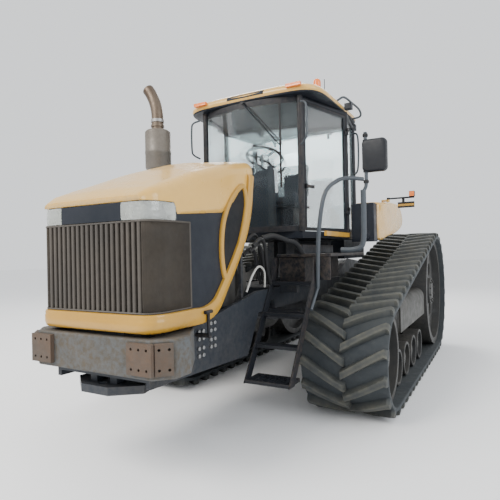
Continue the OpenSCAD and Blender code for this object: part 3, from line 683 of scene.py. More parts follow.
def rounded_copy(node: str, finish: Finish, bevel: float = 0.004) -> bpy.types.Object:
    """A copy of a CAD node with its loose triangles merged, flat faces joined and edges rounded.

    Args:
        node: the CAD node, which the copy replaces.
        finish: the copy's finish.
        bevel: width of the rounded edges.

    Returns:
        The new piece.
    """
    shell = bmesh.new()
    shell.from_mesh(frame["nodes"][node].data)
    bmesh.ops.remove_doubles(shell, verts=shell.verts, dist=2e-5)
    bmesh.ops.dissolve_limit(shell, angle_limit=math.radians(0.6), verts=shell.verts,
                             edges=shell.edges)
    mesh = bpy.data.meshes.new(node + "_rounded")
    shell.to_mesh(mesh)
    shell.free()
    return place(mesh, node + "_rounded", body_of(node), finish, (node,), bevel, 33.0)


def rounded_outline(width: float, height: float, corner: float, steps: int = 6) -> np.ndarray:
    """A rectangle about the origin whose corners are quarter circles.

    Args:
        width: full width.
        height: full height.
        corner: radius of the corners.
        steps: points in each corner.

    Returns:
        The outline's points, anticlockwise.
    """
    quarter = np.linspace(0, np.pi / 2, steps)
    parts = []
    for turn, (sx, sy) in enumerate(((1, 1), (-1, 1), (-1, -1), (1, -1))):
        angle = quarter + turn * np.pi / 2
        middle = np.array([sx * (width / 2 - corner), sy * (height / 2 - corner)])
        parts.append(middle + corner * np.column_stack([np.cos(angle), np.sin(angle)]))
    return np.vstack(parts)


def dress_node(node: str, finish: Finish) -> None:
    """Gives a CAD node that stays in view its finish."""
    mesh = frame["nodes"][node].data
    mesh.materials.clear()
    mesh.materials.append(MATERIALS[finish.name])
    log.info("dressed %s", node)


def second_finish(item: bpy.types.Object, finish: Finish, chosen: np.ndarray) -> None:
    """Gives chosen faces of a piece another finish.

    Args:
        item: the piece.
        finish: the other finish.
        chosen: true for each face that takes it.
    """
    item.data.materials.append(MATERIALS[finish.name])
    item.data.polygons.foreach_set("material_index", chosen.astype(np.int32))


def face_centres(item: bpy.types.Object) -> np.ndarray:
    """The middle of each face of a piece, one row each."""
    centres = np.empty(len(item.data.polygons) * 3, np.float32)
    item.data.polygons.foreach_get("center", centres)
    return centres.reshape(-1, 3)


def swept_profile(path: np.ndarray, profile: Sequence[tuple[float, float]]) -> np.ndarray:
    """Carries a profile of (outward, height) pairs round a level path.

    Outward is the path's direction turned a quarter turn clockwise, seen from above.

    Args:
        path: X and Y pairs.
        profile: outward distance and height pairs, closed.

    Returns:
        The grid of points.
    """
    ahead = unit(np.gradient(path, axis=0))
    outward = np.column_stack([ahead[:, 1], -ahead[:, 0]])
    shape = np.asarray(profile)
    flat = path[:, None] + shape[None, :, :1] * outward[:, None]
    height = np.broadcast_to(shape[None, :, 1:], (len(path), len(shape), 1))
    return np.concatenate([flat, height], -1)


def ribbon(path: np.ndarray, width: object, inner: float, outer: float, closed: bool = False
           ) -> np.ndarray:
    """A strip with rounded shoulders that stands on a side face, along a Y and Z path.

    Args:
        path: Y and Z pairs of its middle line.
        width: its width, or one for each point.
        inner: X of its back.
        outer: X of its face.
        closed: true if the path joins up.

    Returns:
        The grid of points.
    """
    ahead = (np.roll(path, -1, 0) - np.roll(path, 1, 0)) if closed else np.gradient(path, axis=0)
    ahead = unit(ahead)
    across = np.column_stack([-ahead[:, 1], ahead[:, 0]])
    half = np.broadcast_to(np.asarray(width, float) / 2, (len(path),))[:, None]
    depth = outer - inner
    reach = np.array([-1, -1, -0.93, -0.72, 0, 0.72, 0.93, 1, 1])
    rise = np.array([0, 0.55, 0.85, 0.98, 1.0, 0.98, 0.85, 0.55, 0]) * depth + inner
    offset = half * reach[None]
    flat = path[:, None] + offset[..., None] * across[:, None]
    x = np.broadcast_to(rise[None, :, None], (len(path), len(rise), 1))
    return np.concatenate([x, flat], -1)


def mirrored(grid: np.ndarray) -> np.ndarray:
    """A grid reflected to the other side of the machine."""
    return grid * np.array([-1.0, 1.0, 1.0])


def loop_path(points: Sequence[tuple[float, float]], steps: int = 8) -> np.ndarray:
    """A closed smooth loop through flat points.

    Args:
        points: pairs in order round the loop.
        steps: samples between neighbours.

    Returns:
        The samples without the repeated end.
    """
    flat = np.column_stack([np.asarray(points), np.zeros(len(points))])
    wrapped = np.vstack([flat[-1:], flat, flat[:2]])
    return smooth_path(wrapped, steps)[steps:-steps - 1, :2]


def flat_path(points: Sequence[tuple[float, float]], steps: int = 8) -> np.ndarray:
    """A smooth open path through flat points."""
    return smooth_path(np.column_stack([np.asarray(points), np.zeros(len(points))]), steps)[:, :2]


# ---- Tracks ----------------------------------------------------------------------------


@dataclass
class Track:
    """One rubber belt with the wheels that it runs round."""

    side: int
    word: str
    centre: float = 1.1175
    width: float = 0.762
    idler: tuple[float, float] = (-1.0, 0.508)
    drive: tuple[float, float] = (2.04, 0.868)
    depth: float = 0.095
    carcass: float = 0.035
    lugs: int = 50
    sweep: float = math.radians(27)

    def lengths(self) -> tuple[float, float, float, float]:
        """Distances along the inner face at which each stretch ends.

        The wheels touch level ground, so the upper run leans by t = 2 atan((R - r) / L). The belt
        wraps the drive wheel over pi + t and the idler over pi - t.

        Returns:
            The four distances.
        """
        run = self.drive[0] - self.idler[0]
        lean = 2 * math.atan((self.drive[1] - self.idler[1]) / run)
        one = (math.pi + lean) * (self.drive[1] - self.depth)
        two = (math.pi - lean) * (self.idler[1] - self.depth)
        return run, run + one, 2 * run + one, 2 * run + one + two

    def wrap(self, s: np.ndarray, v: np.ndarray, h: np.ndarray) -> np.ndarray:
        """Lays belt coordinates round the wheels.

        Args:
            s: distance along the inner face.
            v: distance across from the middle of the belt.
            h: height outwards from the inner face.

        Returns:
            The points.
        """
        one, two, three, total = self.lengths()
        s = np.mod(s, total)
        big, small = self.drive[1] - self.depth, self.idler[1] - self.depth
        lean = 2 * math.atan((self.drive[1] - self.idler[1]) / one)
        top = math.pi / 2 + lean
        at_drive = (s - one) / big - math.pi / 2
        at_idler = (s - three) / small + top
        zone = [s < one, s < two, s < three]
        y = np.select(zone, [self.idler[0] + s, self.drive[0] + big * np.cos(at_drive),
                             self.drive[0] + big * math.cos(top) - (s - two) * math.sin(top)],
                      self.idler[0] + small * np.cos(at_idler))
        z = np.select(zone, [self.depth + 0 * s, self.drive[1] + big * np.sin(at_drive),
                             self.drive[1] + big * math.sin(top) + (s - two) * math.cos(top)],
                      self.idler[1] + small * np.sin(at_idler))
        turn = np.select(zone, [0 * s, at_drive + math.pi / 2, 0 * s + top + math.pi / 2],
                         at_idler + math.pi / 2)
        x = self.side * self.centre + v + 0 * s
        return np.stack([x, y + np.sin(turn) * h, z - np.cos(turn) * h], -1)

    def bar(self, start: float, way: int) -> tuple[np.ndarray, np.ndarray]:
        """One tread bar: a tapered bar from the middle of the belt to its edge.

        Its middle line falls back by v tan(sweep) up to a knee near the edge, then turns.

        Args:
            start: distance along the belt of its inner end.
            way: 1 for the half towards +X, -1 for the other.

        Returns:
            The bar's grid and how worn each point is.
        """
        across = np.array([0.0, 0.03, 0.12, 0.3, 0.48, 0.66, 0.8, 0.86, 0.93, 0.985, 1.0])
        lift = np.array([0.55, 1, 1, 1, 1, 1, 1, 1, 0.97, 0.9, 0.62])
        edge = self.width / 2
        knee = 0.92 * edge
        v = across * (edge + 0.018) - 0.019
        back = -math.tan(self.sweep) * np.minimum(v, knee) + 0.25 * np.maximum(v - knee, 0)
        reach = np.array([-0.042, -0.027, -0.022, 0.0, 0.022, 0.027, 0.042])
        rise = np.array([0.0, 0.95, 1.0, 1.0, 1.0, 0.95, 0.0])
        foot = self.carcass - 0.004
        h = foot + (self.depth - foot) * lift[:, None] * rise[None]
        s = start + back[:, None] + reach[None]
        grid = self.wrap(s, np.broadcast_to(way * v[:, None], s.shape), h)
        worn = np.broadcast_to(np.array([0, 0.9, 1.0, 0.45, 1.0, 0.9, 0]), s.shape)
        return (grid if way > 0 else grid[:, ::-1]), worn

    def guide(self, at: float) -> np.ndarray:
        """One guide block on the inside of the belt, that runs between the wheels' rims."""
        ring = rounded_outline(1.0, 1.0, 0.18, 4)
        size = np.array([[0.096, 0.088], [0.094, 0.087], [0.07, 0.074], [0.058, 0.066]])
        h = np.array([0.004, -0.012, -0.080, -0.090])
        s = at + ring[None, :, 0] * size[:, None, 0]
        v = ring[None, :, 1] * size[:, None, 1]
        return self.wrap(s, v, np.broadcast_to(h[:, None], s.shape))

    def build(self) -> None:
        """Makes the belt and the wheels."""
        total = self.lengths()[3]
        outline = rounded_outline(self.width, self.carcass, 0.010, 4)
        s = np.linspace(0, total, 440, endpoint=False)[:, None]
        v, h = outline[None, :, 0], outline[None, :, 1] + self.carcass / 2
        shape = Shape().sheet(self.wrap(s + 0 * v, v + 0 * s, h + 0 * s), wrap_u=True, wrap_v=True)
        pitch = total / self.lugs
        for k in range(self.lugs):
            for way, phase in ((1, 0.0), (-1, 0.5)):
                grid, worn = self.bar((k + phase) * pitch, way)
                shape.sheet(grid, wrap_v=True, caps=True, worn=worn)
            shape.sheet(self.guide((k + 0.25) * pitch), wrap_v=True, caps=True)
        shape.piece(f"tread_{self.word}", body_of(f"belt_{self.word}"), RUBBER,
                    (f"belt_{self.word}",), sharp=24.0)
        rounded_copy(f"track_frame_{self.word}", COVER, 0.012)
        for node in sorted(frame["nodes"]):
            if node.startswith((f"drive_wheel_{self.word}", f"idler_{self.word}",
                                f"roller_{self.word}")):
                rounded_copy(node, WHEEL, 0.006)

    def dress(self) -> None:
        """Adds hub caps to the small wheels."""
        for node in sorted(frame["nodes"]):
            if node.startswith((f"roller_{self.word}", f"idler_{self.word}")):
                low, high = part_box(node)
                y, z = (low.y + high.y) / 2, (low.z + high.z) / 2
                radius = (high.z - low.z) * 0.17
                start = high.x - 0.075 if self.side > 0 else low.x + 0.075
                cap = [(0.001, 0.0), (radius * 1.5, 0.0), (radius * 1.5, 0.012), (radius, 0.018),
                       (radius, 0.042), (radius * 0.8, 0.05), (0.001, 0.05)]
                turned = [(r, self.side * t) for r, t in cap]
                Shape().spun(turned, (start, y, z), "X", 28).piece(
                    f"hub_cap_{node}", body_of(node), WHEEL)


# ---- Hood ------------------------------------------------------------------------------


@dataclass
class Hood:
    """The tilting hood with its skin, side panels, band, grille and lamps."""

    body: str = "hood"
    knots: tuple = ((-3.122, 1.872, 1.868, 0.440), (-3.05, 1.925, 1.912, 0.490),
                    (-2.92, 1.988, 1.966, 0.511), (-2.6, 2.116, 2.080, 0.516),
                    (-2.25, 2.226, 2.180, 0.516), (-1.835, 2.302, 2.262, 0.509))
    band_side: tuple = ((-2.76, 1.07), (-2.60, 1.072), (-2.46, 1.122), (-2.34, 1.25),
                        (-2.18, 1.44), (-2.03, 1.66), (-1.955, 1.85), (-1.925, 2.02),
                        (-1.905, 2.13))
    vent: tuple = ((-2.03, 2.025), (-2.14, 1.975), (-2.26, 1.86), (-2.345, 1.70), (-2.37, 1.50),
                   (-2.34, 1.335), (-2.285, 1.285), (-2.22, 1.36), (-2.13, 1.53), (-2.04, 1.72),
                   (-1.99, 1.90))

    def lower_edge(self, y: np.ndarray) -> np.ndarray:
        """Height of the skin's lower edge at each Y."""
        return np.interp(y, (-3.2, -2.895, -2.875, -2.35, -2.16, -2.03, -1.83),
                         (1.824, 1.824, 1.750, 1.795, 1.90, 2.02, 2.01))

    def skin(self) -> None:
        """The bent skin: upright sides, a rounded shoulder and a crown that falls as x squared."""
        y = np.concatenate([np.linspace(-3.122, -2.9, 10), [-2.885, -2.872],
                            np.linspace(-2.84, -1.835, 34)])
        knot = np.asarray(self.knots)
        crown, shoulder, wide = (np.interp(y, knot[:, 0], knot[:, k]) for k in (1, 2, 3))
        crown = crown + 0.006 * np.sin(np.clip((y + 3.0) / 1.1, 0, 1) * math.pi)
        low = self.lower_edge(y)
        corner = np.minimum(0.105, (shoulder - low) * 0.75)
        up = np.linspace(0, 1, 6)[None]
        side_x = np.repeat(wide[:, None], 6, 1)
        side_z = low[:, None] + up * (shoulder - corner - low)[:, None]
        turn = np.linspace(0, math.pi / 2, 9)[None, 1:]
        bend_x = (wide - corner)[:, None] + corner[:, None] * np.cos(turn)
        bend_z = (shoulder - corner)[:, None] + corner[:, None] * np.sin(turn)
        part = np.linspace(1, 0, 13)[None, 1:]
        top_x = (wide - corner)[:, None] * part
        top_z = shoulder[:, None] + (crown - shoulder)[:, None] * (1 - part ** 2)
        x = np.hstack([side_x, bend_x, top_x])
        z = np.hstack([side_z, bend_z, top_z])
        x = np.hstack([x, -x[:, -2::-1]])
        z = np.hstack([z, z[:, -2::-1]])
        lean = np.clip((y + 2.2) / 0.36, 0, 1)[:, None] * 0.13
        grid = np.stack([x, y[:, None] - lean * (crown[:, None] - z), z], -1)
        nose = np.stack([grid[0] * (0.985, 1, 1), grid[0]])
        nose[0, :, 2] = 1.824
        nose[0, :, 1] = -3.128
        nose[1, :, 1] = -3.134
        nose[1, :, 2] = 1.824 + (grid[0, :, 2] - 1.824) * 0.72
        item = Shape().sheet(np.concatenate([nose, grid])).piece(
            "hood_skin", self.body, YELLOW, ("hood_shell",), sharp=50.0)
        shell = item.modifiers.new("thickness", "SOLIDIFY")
        shell.thickness = 0.012
        shell.offset = -1.0

    def band(self) -> None:
        """The yellow band: round the nose, along both sides and up behind the panels."""
        half = np.array([(0.531, -2.72), (0.531, -2.86), (0.530, -2.97), (0.515, -3.05),
                         (0.475, -3.108), (0.41, -3.132), (0.2, -3.135)])
        path = np.vstack([half, half[::-1] * (-1, 1)])
        path = flat_path(path[::-1], 5)
        profile = ((-0.045, 1.126), (-0.006, 1.128), (0.004, 1.124), (0.008, 1.112), (0.006, 1.098),
                   (0.010, 1.090), (0.010, 1.045), (0.002, 1.022), (-0.012, 1.012), (-0.045, 1.012))
        shape = Shape().sheet(swept_profile(path, profile), wrap_v=True, caps=True)
        side = flat_path(self.band_side, 8)
        width = np.interp(side[:, 0], (-2.7, -2.5, -2.35, -1.9), (0.115, 0.105, 0.088, 0.08))
        grid = ribbon(side, width, 0.497, 0.537)
        shape.sheet(grid, wrap_v=True, caps=True).sheet(mirrored(grid), wrap_v=True, caps=True)
        loop = ribbon(loop_path(self.vent, 6), 0.042, 0.500, 0.532, closed=True)
        shape.sheet(loop, wrap_u=True, wrap_v=True)
        shape.sheet(mirrored(loop), wrap_u=True, wrap_v=True)
        shape.piece("band", self.body, BAND_YELLOW, ("hood_band",), sharp=40.0)

    def panels(self) -> None:
        """The dark side panels and the mesh in each vent."""
        edge = [(-2.738, 1.118), (-2.738, 1.702), (-2.886, 1.702), (-2.886, 1.762),
                (-2.35, 1.80), (-2.16, 1.905), (-2.03, 2.02), (-1.965, 1.98), (-1.985, 1.80),
                (-2.05, 1.62), (-2.20, 1.40), (-2.36, 1.20), (-2.47, 1.118)]
        shape, mesh = Shape(), Shape()
        vent = loop_path(self.vent, 5)
        for sign in (1, -1):
            shape.prism(np.array(edge), "X", sign * 0.494, sign * 0.510)
            mesh.prism(vent, "X", sign * 0.504, sign * 0.513)
        shape.piece("side_panels", self.body, DARK_PLASTIC, ("hood_sides",), bevel=0.003)
        mesh.piece("vent_mesh", self.body, VENT_MESH)

    def grille(self) -> None:
        """The mesh round the nose, with upright ribs across its front."""
        half = np.array([(0.509, -2.745), (0.509, -2.99), (0.500, -3.045), (0.468, -3.098),
                         (0.436, -3.117), (0.428, -3.114), (0.424, -3.090), (0.2, -3.090)])
        path = np.vstack([half, half[::-1] * (-1, 1)])[::-1]
        z = np.linspace(1.130, 1.702, 8)
        sheet = np.concatenate([np.repeat(path[:, None], len(z), 1),
                                np.broadcast_to(z[None, :, None], (len(path), len(z), 1))], -1)
        item = Shape().sheet(sheet).piece("grille_mesh", self.body, GRILLE, ("grille",), sharp=35.0)
        plate = item.modifiers.new("thickness", "SOLIDIFY")
        plate.thickness = 0.008
        plate.offset = 0.0
        ribs = Shape()
        outline = rounded_outline(0.028, 0.036, 0.009, 4)
        for x in np.linspace(-0.404, 0.404, 19):
            ribs.prism(outline + (x, -3.104), "Z", 1.140, 1.696)
        lip = ((-0.010, 0.0), (0.006, 0.0), (0.010, 0.006), (0.006, 0.013), (-0.010, 0.013))
        outer = np.vstack([half[:5], half[4::-1] * (-1, 1)])[::-1]
        for height in (1.128, 1.694):
            rim = [(d, z + height) for d, z in lip]
            ribs.sheet(swept_profile(outer, rim), wrap_v=True, caps=True)
        for sign in (1, -1):
            ribs.box((sign * 0.505 - 0.009, -2.752, 1.130), (sign * 0.505 + 0.009, -2.736, 1.704))
        ribs.piece("grille_ribs", self.body, RIB, sharp=40.0)

    def lamps(self) -> None:
        """Wrap-round head lamps with bowls behind their lenses, and the panel between them."""
        lens, bowls, case = Shape(), Shape(), Shape()
        edge = flat_path([(0.275, -3.128), (0.38, -3.126), (0.44, -3.114), (0.482, -3.066),
                          (0.504, -2.99), (0.509, -2.888)], 5)
        skin = ((-0.010, 1.709), (0.0, 1.708), (0.003, 1.725), (0.004, 1.765), (0.003, 1.80),
                (0.0, 1.819), (-0.010, 1.818))
        back = ((-0.10, 1.712), (-0.016, 1.708), (-0.013, 1.706), (-0.013, 1.709),
                (-0.085, 1.716), (-0.085, 1.812), (-0.013, 1.818), (-0.013, 1.821),
                (-0.016, 1.821), (-0.10, 1.816))
        for flip in (False, True):
            front = swept_profile(edge, skin)
            rear = swept_profile(edge, back)
            lens.sheet(mirrored(front) if flip else front, wrap_v=True, caps=True)
            case.sheet(mirrored(rear) if flip else rear, wrap_v=True, caps=True)
            sign = -1 if flip else 1
            for x, y in ((0.325, -3.105), (0.415, -3.095)):
                bowl = [(0.001, 0.045), (0.016, 0.04), (0.03, 0.026), (0.040, 0.006), (0.044, 0.0),
                        (0.040, 0.028), (0.02, 0.05), (0.001, 0.054)]
                bowls.spun(bowl, (sign * x, y, 1.764), "Y", 32)
                bowls.spun([(0.001, 0.006), (0.009, 0.01), (0.01, 0.04), (0.001, 0.046)],
                           (sign * x, y, 1.764), "Y", 16)
        case.box((-0.272, -3.129, 1.708), (0.272, -3.10, 1.819))
        lens.piece("lamp_lenses", self.body, LENS, ("headlights",), sharp=45.0)
        bowls.piece("lamp_bowls", self.body, CHROME, sharp=60.0)
        case.piece("lamp_case", self.body, DARK_PLASTIC, bevel=0.003)

    def build(self) -> None:
        """Makes every part of the hood."""
        self.skin()
        self.band()
        self.panels()
        self.grille()
        self.lamps()

    def dress(self) -> None:
        """Rounds the T-shaped hood latches."""
        for node in ("latch_left", "latch_right"):
            rounded_copy(node, BLACK_STEEL, 0.002)


# ---- Chassis, steps and rails ----------------------------------------------------------


@dataclass
class Chassis:
    """Frame, weight bracket, driveline and the plates behind the hood."""

    plain: tuple = (("main_frame", FRAME_GREY, 0.008), ("front_bracket", BRACKET, 0.012),
                    ("ballast_pads", PAD, 0.006), ("frame_bolts", BOLT, 0.003),
                    ("engine", IRON, 0.014), ("radiator", CORE, 0.006),
                    ("cooling_fan", DARK_PLASTIC, 0.004), ("transmission", FRAME_GREY, 0.016),
                    ("fuel_tank", DARK_PLASTIC, 0.03), ("hard_bar", BLACK_STEEL, 0.006),
                    ("drawbar", BLACK_STEEL, 0.007), ("deck", BLACK_STEEL, 0.006),
                    ("ladder", BLACK_STEEL, 0.004))

    def build(self) -> None:
        """Rounds the plain nodes and makes the fenders."""
        for node, finish, bevel in self.plain:
            rounded_copy(node, finish, bevel)
        outline = loop_path([(-0.005, 1.62), (0.0, 2.0), (0.1, 2.045), (0.5, 2.085), (0.9, 2.105),
                             (1.15, 2.10), (1.33, 2.05), (1.425, 1.96), (1.447, 1.89), (1.33, 1.80),
                             (0.9, 1.705), (0.45, 1.655)], 5)
        shape = Shape()
        for sign in (1, -1):
            ring = np.array([(0.695, 0.95), (0.70, 0.985), (0.74, 1.0), (1.03, 1.0), (1.085, 0.985),
                             (1.112, 0.955), (1.12, 0.90)])
            middle = np.array([0.75, 1.87])
            flat = middle + (outline[None] - middle) * ring[:, 1, None, None]
            inner = np.interp(flat[..., :1], (-0.01, 0.49, 0.56), (0.868, 0.785, 0.695))
            x = sign * np.maximum(ring[:, 0, None, None], inner)
            shape.sheet(np.concatenate([x, flat], -1), wrap_v=True, caps=True)
            shape.tube(np.array([(sign * 1.06, 0.41, 2.09), (sign * 1.135, 0.41, 2.09)]), 0.013)
            shape.spun([(0.001, 0), (0.018, 0), (0.018, 0.028), (0.001, 0.028)],
                       (sign * 1.14, 0.41, 2.07), "Z", 24)
            shape.box((sign * 1.13 - 0.01, 0.396, 2.07), (sign * 1.13 + 0.01, 0.424, 2.098))
        shape.piece("fender_skins", "chassis", YELLOW, ("fenders",), sharp=30.0)

    def dress(self) -> None:
        """Adds hoses behind the hood, a pale hose loop and caps on the tanks."""
        dark = Shape()
        for k, (x, rise) in enumerate(((0.44, 0.0), (0.47, 0.05), (0.405, 0.09), (0.37, -0.03))):
            path = smooth_path([(x, -1.80, 1.50 + rise), (x + 0.02, -1.70, 1.56 + rise),
                                (x + 0.01, -1.60, 1.50 + rise),
                                (x - 0.02, -1.50, 1.32 + rise * 0.4), (x - 0.03, -1.42, 1.20)])
            dark.tube(path, 0.014 + 0.003 * (k % 2))
        dark.tube(smooth_path([(0.46, -1.62, 1.62), (0.52, -1.5, 1.64), (0.60, -1.4, 1.60),
                               (0.66, -1.30, 1.56), (0.70, -1.22, 1.44)]), 0.024)
        dark.piece("hoses", "chassis", TRIM_RUBBER)
        loop = smooth_path([(0.42, -1.84, 1.16), (0.47, -1.82, 1.30), (0.48, -1.72, 1.37),
                            (0.47, -1.60, 1.32), (0.44, -1.54, 1.18)])
        Shape().tube(loop, 0.009).piece("pale_hose_loop", "chassis", WHITE_HOSE)
        rounded = Shape()
        for sign in (1, -1):
            rounded.spun([(0.001, 0), (0.03, 0), (0.036, 0.006), (0.036, 0.014), (0.001, 0.018)],
                         (sign * 1.01, -0.178, 1.65), "Y", 28)
        rounded.piece("tank_caps", "chassis", COVER)


@dataclass
class Rails:
    """Handrails, mirror posts, roof rails and the mirrors on their posts."""

    hand: tuple = ((0.858, -1.30, 1.16), (0.905, -1.37, 1.65), (0.955, -1.33, 2.00),
                   (1.03, -1.20, 2.13), (1.10, -1.08, 2.165), (1.205, -0.965, 2.16))

    def build(self) -> None:
        """Makes the tubes."""
        shape = Shape()
        shape.tube(smooth_path(self.hand), 0.019)
        shape.tube(np.array([(0.860, -1.48, 0.98), (0.858, -1.30, 1.16)]), 0.015)
        for sign in (1, -1):
            post = [(0.975, -0.95, 1.50), (1.09, -0.95, 1.50), (1.165, -0.95, 1.525),
                    (1.193, -0.95, 1.60), (1.199, -0.95, 1.8), (1.20, -0.95, 2.06)]
            top = [(1.20, -0.95, 2.04), (1.230, -0.95, 2.115), (1.230, -0.95, 2.3),
                   (1.230, -0.95, 2.60)]
            grab = [(0.612, -1.01, 2.99), (0.67, -1.05, 2.96), (0.69, -1.06, 2.90),
                    (0.69, -1.06, 2.66), (0.67, -1.05, 2.60), (0.612, -1.01, 2.56)]
            for path, radius in ((post, 0.026), (top, 0.017), (grab, 0.010)):
                shape.tube(smooth_path([(sign * x, y, z) for x, y, z in path], 6), radius)
        roof_rail = [(0.80, -0.42, 3.13), (0.86, -0.38, 3.165), (0.88, -0.15, 3.165),
                     (0.905, 0.06, 3.14), (0.90, 0.12, 3.08), (0.80, 0.12, 3.06)]
        shape.tube(smooth_path(roof_rail), 0.012)
        rear_grab = [(0.748, 0.33, 2.95), (0.815, 0.30, 2.88), (0.825, 0.25, 2.50),
                     (0.748, 0.33, 2.42)]
        shape.tube(smooth_path(rear_grab), 0.011)
        shape.box((-1.0, -1.0, 1.442), (-0.56, -0.6, 1.472))
        shape.piece("tubes", "chassis", RAIL, ("rails",), sharp=45.0)

    def dress(self) -> None:
        """Makes the mirror heads and adds clamps on the posts."""
        outline = rounded_outline(0.226, 0.306, 0.04, 8) + (1.313, 2.375)
        middle = outline.mean(0)
        for word, sign in (("left", 1), ("right", -1)):
            shell = Shape()
            depth = [(-0.987, 0.86), (-0.984, 0.93), (-0.972, 0.985), (-0.955, 1.0), (-0.918, 1.0),
                     (-0.914, 0.985), (-0.918, 0.95), (-0.924, 0.93)]
            rows = []
            for y, size in depth:
                flat = middle + (outline - middle) * size
                rows.append(np.column_stack([sign * flat[:, 0], np.full(len(flat), y), flat[:, 1]]))
            shell.sheet(np.stack(rows), wrap_v=True, caps=True)
            shell.tube(np.array([(sign * 1.230, -0.95, z) for z in (2.224, 2.24, 2.526)]), 0.026)
            shell.piece(f"mirror_shell_{word}", f"mirror_{word[0]}", MIRROR_SHELL,
                        (f"mirror_{word}",), sharp=40.0)
            plate = (middle + (outline - middle) * 0.915) * (sign, 1)
            Shape().prism(plate, "Y", -0.926, -0.921).piece(
                f"mirror_plate_{word}", f"mirror_{word[0]}", SILVERED)
            clamp = Shape()
            for z in (2.135, 2.57):
                clamp.spun([(0.001, -0.014), (0.024, -0.014), (0.026, 0.0), (0.024, 0.014),
                            (0.001, 0.014)], (sign * 1.230, -0.95, z), "Z", 24)
            clamp.piece(f"post_clamps_{word}", "chassis", TRIM_RUBBER)


# ---- Cab -------------------------------------------------------------------------------


@dataclass
class Roof:
    """The cab's roof cap with its dark brim, lamps and beacon."""

    middle: tuple[float, float] = (0.0, -0.265)
    half: tuple[float, float] = (0.80, 0.795)
    power: float = 7.0

    def dome(self, rows: Sequence[tuple[float, float]], crown: float) -> np.ndarray:
        """Rings of a superellipse |x/a|^n + |y/b|^n = 1, each shrunk by its row's first number.

        Args:
            rows: how far in from the edge each ring lies, and its height.
            crown: how much the front and rear dip below the middle.

        Returns:
            The grid of points.
        """
        t = np.linspace(0, 2 * math.pi, 112, endpoint=False)
        c, s = np.cos(t), np.sin(t)
        x = np.sign(c) * np.abs(c) ** (2 / self.power)
        y = np.sign(s) * np.abs(s) ** (2 / self.power)
        rings = []
        for inset, z in rows:
            a, b = self.half[0] - inset, self.half[1] - inset
            high = z - crown * (x ** 2) * (a / self.half[0]) ** 2
            rings.append(np.column_stack([x * a + self.middle[0],
                                          y * b + self.middle[1], high]))
        return np.stack(rings)

    def build(self) -> None:
        """Makes the cap and the brim under it."""
        cap = self.dome([(0.03, 3.106), (0.012, 3.102), (0.0, 3.125), (0.004, 3.15), (0.03, 3.178),
                         (0.08, 3.202), (0.16, 3.222), (0.30, 3.238), (0.50, 3.246), (0.70, 3.249),
                         (0.785, 3.249)], 0.022)
        Shape().sheet(cap[::-1], wrap_v=True, caps=True).piece(
            "roof_cap", "chassis", YELLOW, ("roof_shell",), sharp=50.0)
        brim = self.dome([(0.10, 3.070), (0.06, 3.071), (0.010, 3.082), (0.004, 3.094),
                          (0.012, 3.104), (0.05, 3.108)], 0.008)
        Shape().sheet(brim[::-1], wrap_v=True, caps=True).piece(
            "roof_brim", "chassis", DARK_PLASTIC, ("roof_liner",), sharp=40.0)

    def dress(self) -> None:
        """Adds the beacon, the amber markers and a dark visor panel."""
        lamps = rounded_copy("lamps", DARK_PLASTIC, 0.004)
        at = face_centres(lamps)
        marker = (np.abs(at[:, 0]) > 0.47) & (np.abs(at[:, 0]) < 0.65) & (at[:, 1] < -1.0)
        beacon = (np.hypot(at[:, 0] - 0.6, at[:, 1] + 0.5) < 0.05) & (at[:, 2] > 3.262)
        second_finish(lamps, AMBER, marker | beacon)
        x = np.linspace(-0.22, 0.22, 15)
        front = -1.058 - 0.001 * (x / 0.22) ** 2
        strip = []
        for z, back in ((3.122, 0.0), (3.126, -0.004), (3.158, 0.006), (3.168, 0.020)):
            strip.append(np.column_stack([x, front + back, np.full(15, z)]))
        panel = Shape().sheet(np.stack(strip)).piece("visor_panel", "chassis", DARK_PLASTIC)
        thick = panel.modifiers.new("thickness", "SOLIDIFY")
        thick.thickness = 0.01


